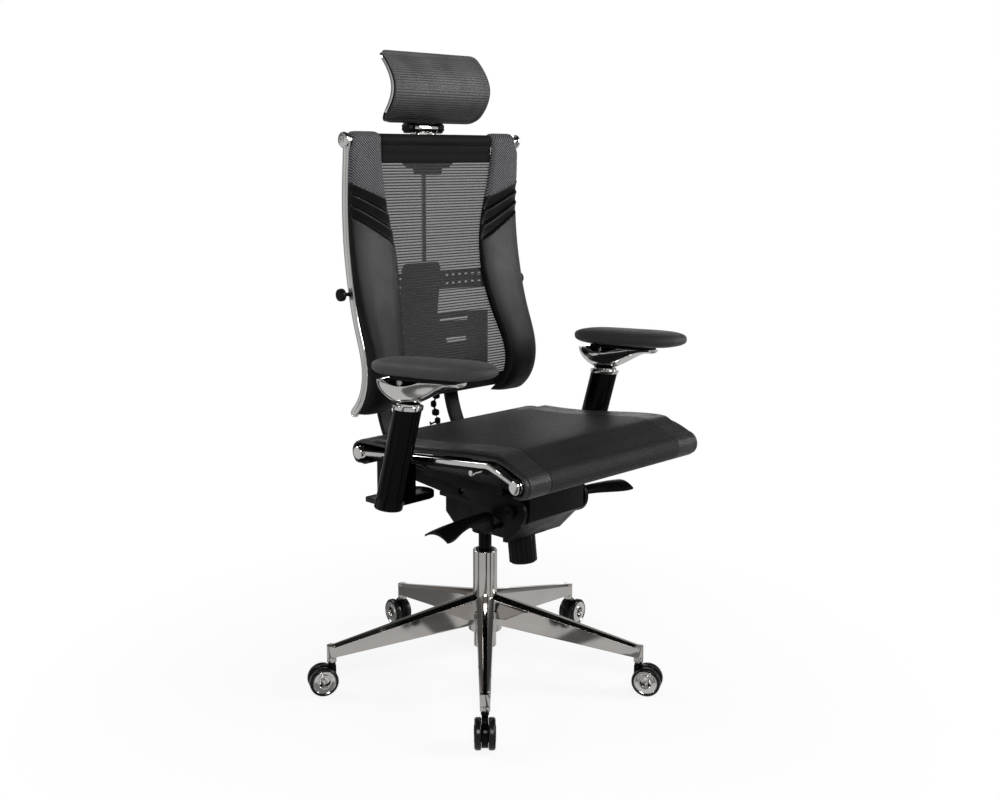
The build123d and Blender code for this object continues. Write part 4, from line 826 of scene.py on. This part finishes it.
def build_bolster(name, side):
    """A padded side bolster: cloth above its seam, pleats with painted shade in their recesses, hide below,
    and one row of stitches.
    """
    base, out, height, inner, outer, thick, run, on_bar = bolster_shape()
    f = np.linspace(0, 1, 44)
    rings, cloth, dark = [], [], []
    for i in range(len(base)):
        x = inner[i] + (outer[i] - inner[i]) * f
        square = 3.4 + 3.5 * ease((height[i] - 980) / 120)
        bulge = (1 - np.abs(2 * f - 1) ** square) ** 0.5
        lean = 1 - 0.16 * (1 - on_bar[i]) * (1 - f)
        t = pleat_place(x, base[i, 1])
        inside = (t >= 0) & (t < 1)
        step = (t * PLEATS) % 1.0
        edge = np.clip(np.minimum(f, 1 - f) / 0.07, 0, 1)
        fold = np.where(inside, pleat_fold(step), 0) * edge * (1 - on_bar[i])
        seam = np.exp(-((t / 0.05) ** 2)) * 1.3 * edge * (1 - on_bar[i])
        dip = np.minimum(fold - seam, 0) * min(thick[i] / 14, 1)
        lift = np.maximum(thick[i] * bulge * lean + dip + np.maximum(fold, 0), 0.0)
        front = np.column_stack([side * x, base[i] + out[i] * lift[:, None]])
        back_x = np.linspace(outer[i], inner[i], BACK_POINTS + 2)[1:-1]
        back = np.column_stack([side * back_x, np.tile(base[i], (BACK_POINTS, 1))])
        rings.append(np.vstack([front, back]))
        cloth.append(np.concatenate([t, np.full(BACK_POINTS, t.mean())]))
        # painted shade: the recessed lower part of each pleat takes the near-black leather
        dark.append(np.concatenate([inside & (step > 0.74) & (edge > 0.4), np.zeros(BACK_POINTS)]))
    rings = np.array(rings)
    flat = np.zeros_like(rings)
    flat[:, :, 0] = -side * rings[:, :, 0]
    flat[:, :, 1] = run[:, None]
    looks = [HIDE, TWILL, PLEAT_PAINTED_SHADE]
    pad = piece(f"bolster_pad_{name}", *skin(rings), "back", looks, "leather", capped(flat))
    t = np.concatenate([np.array(cloth).ravel(), [2.0, -1.0]])
    dark = np.concatenate([np.array(dark, float).ravel(), [0, 0]])
    for face in pad.data.polygons:
        around = list(face.vertices)
        if t[around].mean() < 0:
            face.material_index = looks.index(TWILL)
        elif dark[around].mean() > 0.5:
            face.material_index = looks.index(PLEAT_PAINTED_SHADE)
    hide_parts(f"bolster_{name}")
    sewn = slice(6, 300)
    line, normals = rings[sewn, 3], np.column_stack([0 * run[sewn], out[sewn]])
    normals = normals * 0.6 + np.array((-side * 0.8, 0, 0))
    normals /= np.linalg.norm(normals, axis=1)[:, None]
    piece(f"bolster_{name}_stitch", *stitches(line, normals), "back", THREAD, "leather")


for name, side in SIDES.items():
    build_bolster(name, side)


# ---- back rails ----
END_ROUND, END_PLATE_R, END_PLATE_HALF, KNOB_SHAFT_R = 9.0, 10.9, 4.9, 4.1


def drill(obj, radius, y, z):
    """Cut a hole along X through a piece."""
    hole = bmesh.new()
    r = radius * MM
    bmesh.ops.create_cone(hole, cap_ends=True, segments=24, radius1=r, radius2=r, depth=0.6)
    bmesh.ops.rotate(hole, verts=hole.verts, matrix=Euler((0, pi / 2, 0)).to_matrix())
    bmesh.ops.translate(hole, verts=hole.verts, vec=(0, y * MM, (z - FLOOR_Z) * MM))
    mesh = bpy.data.meshes.new("hole")
    hole.to_mesh(mesh)
    hole.free()
    tool = bpy.data.objects.new("hole", mesh)
    bpy.context.scene.collection.objects.link(tool)
    cut = obj.modifiers.new("cut", "BOOLEAN")
    cut.operation = "DIFFERENCE"
    cut.solver = "EXACT"
    cut.object = tool
    done = bpy.data.meshes.new_from_object(obj.evaluated_get(bpy.context.evaluated_depsgraph_get()))
    obj.modifiers.clear()
    obj.data = done
    bpy.data.objects.remove(tool)


def build_back_rail(name, side):
    """A bright rail of grooved section along the back's line, with a round plate at the top bar."""
    line = resample(BACK_CURVE[::-1], 200)
    back = outward(line)
    left = lengths(line)[-1] - lengths(line)
    section = np.array(RAIL_SECTION)
    rings = []
    for i in range(len(line)):
        near_end = np.clip(1 - left[i] / END_ROUND, 0, 1)
        depth = (section[:, 1] + 2.5) * sqrt(max(1 - near_end**2, 0.04)) - 2.5
        yz = line[i] + back[i] * depth[:, None]
        rings.append(np.column_stack([side * (RAIL_X + section[:, 0]), yz]))
    turn = np.linspace(0, 2 * pi, 40, endpoint=False)
    around = np.column_stack([np.cos(turn), np.sin(turn)]) * END_PLATE_R + TOP_BAR
    disc = np.column_stack([np.zeros(40), around])
    plate = skin([disc + (side * (RAIL_X + x), 0, 0) for x in (-END_PLATE_HALF, END_PLATE_HALF)])
    rail = piece(f"back_rail_bright_{name}", *joined(skin(rings), plate), "back", TRIM, "chrome_trim")
    drill(rail, KNOB_SHAFT_R, float(back_y(KNOB_Z)), KNOB_Z)
    rail.data.shade_smooth()
    rail.data.set_sharp_from_angle(angle=radians(50))
    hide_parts(f"back_rail_{name}")


for name, side in SIDES.items():
    build_back_rail(name, side)


# ---- under the seat: thin plates of the pan, behind the post brackets and beside the yoke ----
PAN_REAR, PAN_FRONT, PAN_REAR_START = 84.0, -150.0, 30.0
PLATE_T, PLATE_DROP = 5.6, 12.4
SKIRT = [(97.6, 448), (101, 448), (101, 470), (97.6, 470)]  # (x, z)


def build_apron(name, side):
    """A sloping plate behind the post bracket and an upright one beside the yoke."""
    rings = []
    for y in (PAN_REAR_START, PAN_REAR):
        level = float(rail_top(y)) - PLATE_DROP
        top = [(252, level), (195, level), (132, 482 + (level - 514) * 0.3)]
        ring = top + [(x, z - PLATE_T) for x, z in top[::-1]]
        rings.append([(side * x, y, z) for x, z in ring])
    piece(f"seat_pan_rear_{name}", *skin(rings), "seat", BLACK_STEEL, "black_steel", smooth=False)
    rings = [[(side * x, y, z) for x, z in SKIRT] for y in (PAN_FRONT, PAN_REAR)]
    piece(f"seat_pan_skirt_{name}", *skin(rings), "seat", BLACK_STEEL, "black_steel", smooth=False)


for name, side in SIDES.items():
    build_apron(name, side)


# ---- lumbar adjuster that hangs between the carrier's legs ----
ADJUSTER_TOP, ADJUSTER_HOOK = (34, 196, 622), [(18, 192, 522), (12, 186, 528)]
BEADS = [(34, 196, 606), (39, 196, 584), (31, 196, 566), (37, 196, 546), (43, 196, 526)]
BEAD_R, BEAD_HALF_H, ROD_R = 7.5, 8.0, 2.2


def build_adjuster():
    """Turned black beads, thin and thick by turns, on a rod with a hook at its lower end."""
    z = np.linspace(-1, 1, 9)
    beads = []
    for k, at in enumerate(BEADS):
        radius = BEAD_R * np.sqrt(np.clip(1 - z**4, 0.05, 1)) * (1.15 if k % 2 else 0.9)
        beads.append(tube(np.array(at) + z[:, None] * (0, 0, BEAD_HALF_H), radius, 12))
    rod = tube([ADJUSTER_TOP, *BEADS, *ADJUSTER_HOOK], ROD_R, 8)
    piece("lumbar_adjuster", *joined(*beads, rod), "back", GLOSS_PLASTIC, "black_plastic")


build_adjuster()


# ---- headrest ----
HEAD_NET_T, HEAD_SEAM_DEEP, HEAD_SEAM_IN, HEAD_SEAM_WIDE = 2.6, 1.4, 13.0, 3.0


def build_headrest():
    """The net that is stretched over the headrest's frame, with a seam groove near its rim."""
    centre = cubic(HEAD_LINE, 120)
    out = outward(centre)
    run = lengths(centre)
    high = run[-1]
    m = 60
    f = np.linspace(-1, 1, m)
    rings, flat = [], []
    for i in range(len(centre)):
        corner = HEAD_LOW_CORNER if run[i] < high / 2 else HEAD_TOP_CORNER
        from_end = min(run[i], high - run[i])
        cut = corner - sqrt(max(corner**2 - max(corner - from_end, 0) ** 2, 0))
        half_w = HEAD_HALF_W - 3 - cut
        x = half_w * f
        rim = np.minimum((1 - np.abs(f)) * half_w, from_end)
        seam = HEAD_SEAM_DEEP * np.exp(-(((rim - HEAD_SEAM_IN) / HEAD_SEAM_WIDE) ** 2))
        lift = HEAD_NET_T - seam + 0.6 * ease(rim / 30)
        top = centre[i] + out[i] * lift[:, None]
        low = centre[i] + out[i] * 0.35 * np.ones((m, 1))
        ring = np.vstack([np.column_stack([x, top]), np.column_stack([x, low])[::-1]])
        rings.append(ring)
        flat.append(np.column_stack([ring[:, 0], np.full(2 * m, run[i]), np.zeros(2 * m)]))
    sheet = piece("headrest_net", *skin(rings), "headrest", HEAD_NET, "mesh", capped(flat))
    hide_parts("headrest_mesh")


build_headrest()


# ---- arm pads ----
def pad_place(side):
    """The turn and the middle of an arm pad."""
    tilt, toe = radians(-PAD_TILT_DEG), radians(-side * PAD_TOE_DEG)
    about_x = np.array([[1, 0, 0], [0, cos(tilt), -sin(tilt)], [0, sin(tilt), cos(tilt)]])
    about_z = np.array([[cos(toe), -sin(toe), 0], [sin(toe), cos(toe), 0], [0, 0, 1]])
    return about_z @ about_x, np.array((side * PAD_PLACE[0], PAD_PLACE[1], PAD_PLACE[2]))


def build_arm_pad(name, side):
    """A pad of rounded plan and section, wider at the front, with a slightly falling top."""
    turn, at = pad_place(side)
    angle = np.linspace(0, 2 * pi, 48, endpoint=False)
    cx, cz = np.cos(angle), np.sin(angle)
    rings = []
    for a in -np.cos(np.linspace(0, pi, 120)):
        half_w = PAD_W / 2 * (0.94 - PAD_TAPER * a) * max(1 - a**4, 0) ** 0.42
        thick = PAD_T / 2 * max((1 - abs(a) ** 5) ** 0.42, 0.02)
        x = half_w * np.sign(cx) * np.abs(cx) ** 0.72
        z = thick * np.sign(cz) * np.abs(cz) ** np.where(cz > 0, 0.62, 0.8)
        z = np.where(z > 0, z - 0.12 * thick * (x / PAD_W * 2) ** 2, z)
        rings.append(np.column_stack([x, np.full(len(x), a * (PAD_LONG / 2 - 4)), z]))
    points, faces = skin(rings)
    points = points @ turn.T + at
    pad = piece(f"arm_pad_soft_{name}", points, faces, f"arm_pad_{name}", PAD_SKIN, "soft_pad")
    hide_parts(f"arm_pad_{name}")


def build_bowl_web(name, side):
    """The black rib under the track that closes the view through the bowl, before and behind its pivot."""
    turn, at = pad_place(side)
    for k, stations in enumerate((BOWL_FLOOR, BOWL_END)):
        rings = []
        for back, deep in stations:
            low = WEB_LOW - deep
            ring = [(-3, back, WEB_TOP), (3, back, WEB_TOP), (3, back, low), (-3, back, low)]
            rings.append(ring)
        points, faces = skin(rings)
        points = points @ turn.T + at
        web = (f"bowl_web_{name}_{k + 1}", points, faces, f"arm_cradle_{name}")
        piece(*web, BLACK_PLASTIC, "black_plastic", smooth=False)


for name, side in SIDES.items():
    build_arm_pad(name, side)
    build_bowl_web(name, side)


# ---- casters: bright rim ring and hub ----
LEG_ONE_DEG, LEG_STEP_DEG = -134.6, 72.0
RIM_R, HUB_R, HUB_FACE = 24.0, 16.5, 6.4


def dress_caster(k):
    """Black wheels and fork with bright rims and hub."""
    heading = radians(LEG_ONE_DEG + LEG_STEP_DEG * (k - 1))
    axle = np.array((-sin(heading), cos(heading), 0))
    wheels = [f"caster_{k}_wheel_{name}" for name in SIDES]
    centre = np.mean([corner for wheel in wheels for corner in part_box(wheel)], axis=0) / MM

    def place(p):
        """Distance from the axle, and distance along it from the middle between the wheels."""
        d = np.array(p) - centre
        along = d @ axle
        return np.linalg.norm(d - along * axle), abs(along)

    def on_rim(p, n):
        return place(p)[0] < RIM_R

    def on_hub(p, n):
        return place(p)[0] < HUB_R and place(p)[1] > HUB_FACE

    for wheel in wheels:
        dress(wheel, TYRE, 0.5, [(TRIM, on_rim)])
    dress(f"caster_{k}_fork", GLOSS_PLASTIC, 0.5, [(TRIM, on_hub)])


for k in range(1, 6):
    dress_caster(k)


# ---- camera, light and floor ----
def build_camera():
    """A camera that faces the swivel axis at the named pitch."""
    data = bpy.data.cameras.new("camera")
    data.lens = CAMERA_LENS
    data.sensor_width = 36
    data.shift_x, data.shift_y = CAMERA_SHIFT
    camera = bpy.data.objects.new("camera", data)
    camera.location = CAMERA_AT
    heading = atan2(CAMERA_AT[0], -CAMERA_AT[1])
    camera.rotation_euler = Euler((radians(90 - CAMERA_PITCH_DEG), 0, heading))
    bpy.context.scene.collection.objects.link(camera)
    bpy.context.scene.camera = camera


def lamp(name, place, aim, size, power):
    """A rectangular lamp that faces a point."""
    data = bpy.data.lights.new(name, "AREA")
    data.shape = "RECTANGLE"
    data.size, data.size_y = size
    data.energy = power
    obj = bpy.data.objects.new(name, data)
    obj.location = place
    obj.rotation_euler = (Vector(aim) - Vector(place)).to_track_quat("-Z", "Y").to_euler()
    bpy.context.scene.collection.objects.link(obj)


def rays(nt, *kinds):
    """1 for the kinds of ray named."""
    path = add_node(nt, "ShaderNodeLightPath").node
    found = path.outputs[f"Is {kinds[0]} Ray"]
    for kind in kinds[1:]:
        either = {0: found, 1: path.outputs[f"Is {kind} Ray"]}
        found = add_node(nt, "ShaderNodeMath", either, operation="MAXIMUM")
    return found


def ramp(nt, value, stops):
    """A row of colours or grey levels, each at its place from 0 to 1."""
    colour = add_node(nt, "ShaderNodeValToRGB", {0: value})
    line = colour.node.color_ramp
    while len(line.elements) < len(stops):
        line.elements.new(0.5)
    for element, (place, level) in zip(line.elements, stops):
        element.position = place
        element.color = (*level, 1) if isinstance(level, tuple) else (*grey(level), 1)
    return colour


def ramp_round(nt, kind, stops):
    """A row of colours or grey levels round the upright axis."""
    where = add_node(nt, "ShaderNodeTexCoord", out=kind)
    around = add_node(nt, "ShaderNodeTexGradient", {0: where}, out="Fac", gradient_type="RADIAL")
    return ramp(nt, around, stops)


def studio(nt):
    """What shiny surfaces see: a grey wall with dark and warm flags, and a dark ceiling."""
    where = add_node(nt, "ShaderNodeTexCoord", out="Generated")
    z = add_node(nt, "ShaderNodeSeparateXYZ", {0: where}, out="Z")
    tall = add_node(nt, "ShaderNodeMapRange", {"Value": z, "From Min": -1.0})
    both = {0: ramp(nt, tall, STUDIO_RISE), 1: ramp_round(nt, "Generated", STUDIO_ROUND)}
    return add_node(nt, "ShaderNodeVectorMath", both, operation="MULTIPLY")


def build_world():
    """White light for matt surfaces, the studio for shiny ones, and white where nothing is."""
    world = bpy.data.worlds.new("world")
    world.use_nodes = True
    nt = world.node_tree
    light = nt.nodes["Background"]
    light.inputs[0].default_value = (1, 1, 1, 1)
    light.inputs[1].default_value = WORLD_LIGHT
    pale = add_node(nt, "ShaderNodeBackground", {0: (1, 1, 1, 1), 1: 1.0})
    shine = add_node(nt, "ShaderNodeBackground", {0: studio(nt), 1: 1.0})
    last = light.outputs[0]
    for kinds, other in ((("Glossy",), shine), (("Camera", "Transmission"), pale)):
        last = add_node(nt, "ShaderNodeMixShader", {0: rays(nt, *kinds), 1: last, 2: other})
    nt.links.new(last, nt.nodes["World Output"].inputs[0])
    bpy.context.scene.world = world


def floor_reflection_stripes():
    """Level of the floor's glow in shiny surfaces, round the swivel axis: dark stripes of painted
    reflection between pale parts.
    """
    stops = [(0.0, FLOOR_IN_CHROME)]
    for heading, half, level in sorted(FLOOR_REFLECTION_STRIPES):
        middle, edge = (heading + 180) / 360, half / 360
        for place, share in ((-edge - REFLECTION_STRIPE_SOFT, 1), (-edge, level), (edge, level), (edge + REFLECTION_STRIPE_SOFT, 1)):
            stops.append((middle + place, FLOOR_IN_CHROME * share))
    return stops + [(1.0, FLOOR_IN_CHROME)]


def build_floor():
    """A white floor that glows a little, so that it fades into the white background, and shows painted
    reflections in shiny surfaces.
    """
    corners = [(x * FLOOR_HALF, y * FLOOR_HALF, 0) for x, y in ((-1, -1), (1, -1), (1, 1), (-1, 1))]
    mesh = bpy.data.meshes.new("floor")
    mesh.from_pydata(corners, [], [(0, 1, 2, 3)])
    floor = bpy.data.objects.new("floor", mesh)
    bpy.context.scene.collection.objects.link(floor)
    s = Shade("floor", grey(0.9), 0.7)
    # painted reflection: the glow that shiny surfaces see, with dark stripes in it
    in_chrome = ramp_round(s.nt, "Object", floor_reflection_stripes())
    level = {"Value": rays(s.nt, "Glossy"), "To Min": 1.0, "To Max": in_chrome}
    glow = s.node("ShaderNodeEmission", {1: s.node("ShaderNodeMapRange", level)})
    far = s.node("ShaderNodeVectorMath", {0: s.place()}, out="Value", operation="LENGTH")
    fade = s.spread(far, 0.86, 1.0, FLOOR_FADE)
    share = s.maths("MULTIPLY", fade, rays(s.nt, "Camera", "Transmission", "Glossy"))
    last = s.node("ShaderNodeMixShader", {0: share, 1: s.bsdf.outputs[0], 2: glow})
    s.nt.links.new(last, s.nt.nodes["Material Output"].inputs[0])
    mesh.materials.append(s.mat)


bpy.context.scene.view_settings.view_transform = "Standard"
build_camera()
build_world()
build_floor()
lamp("key", (-2.4, -2.6, 2.6), (0, 0, 0.8), (1.4, 1.4), 105)
lamp("fill", (2.3, -2.5, 1.9), (0, 0, 0.8), (1.2, 1.8), 85)
lamp("rear", (-1.2, 2.6, 2.4), (0, 0, 0.8), (1.6, 1.2), 40)
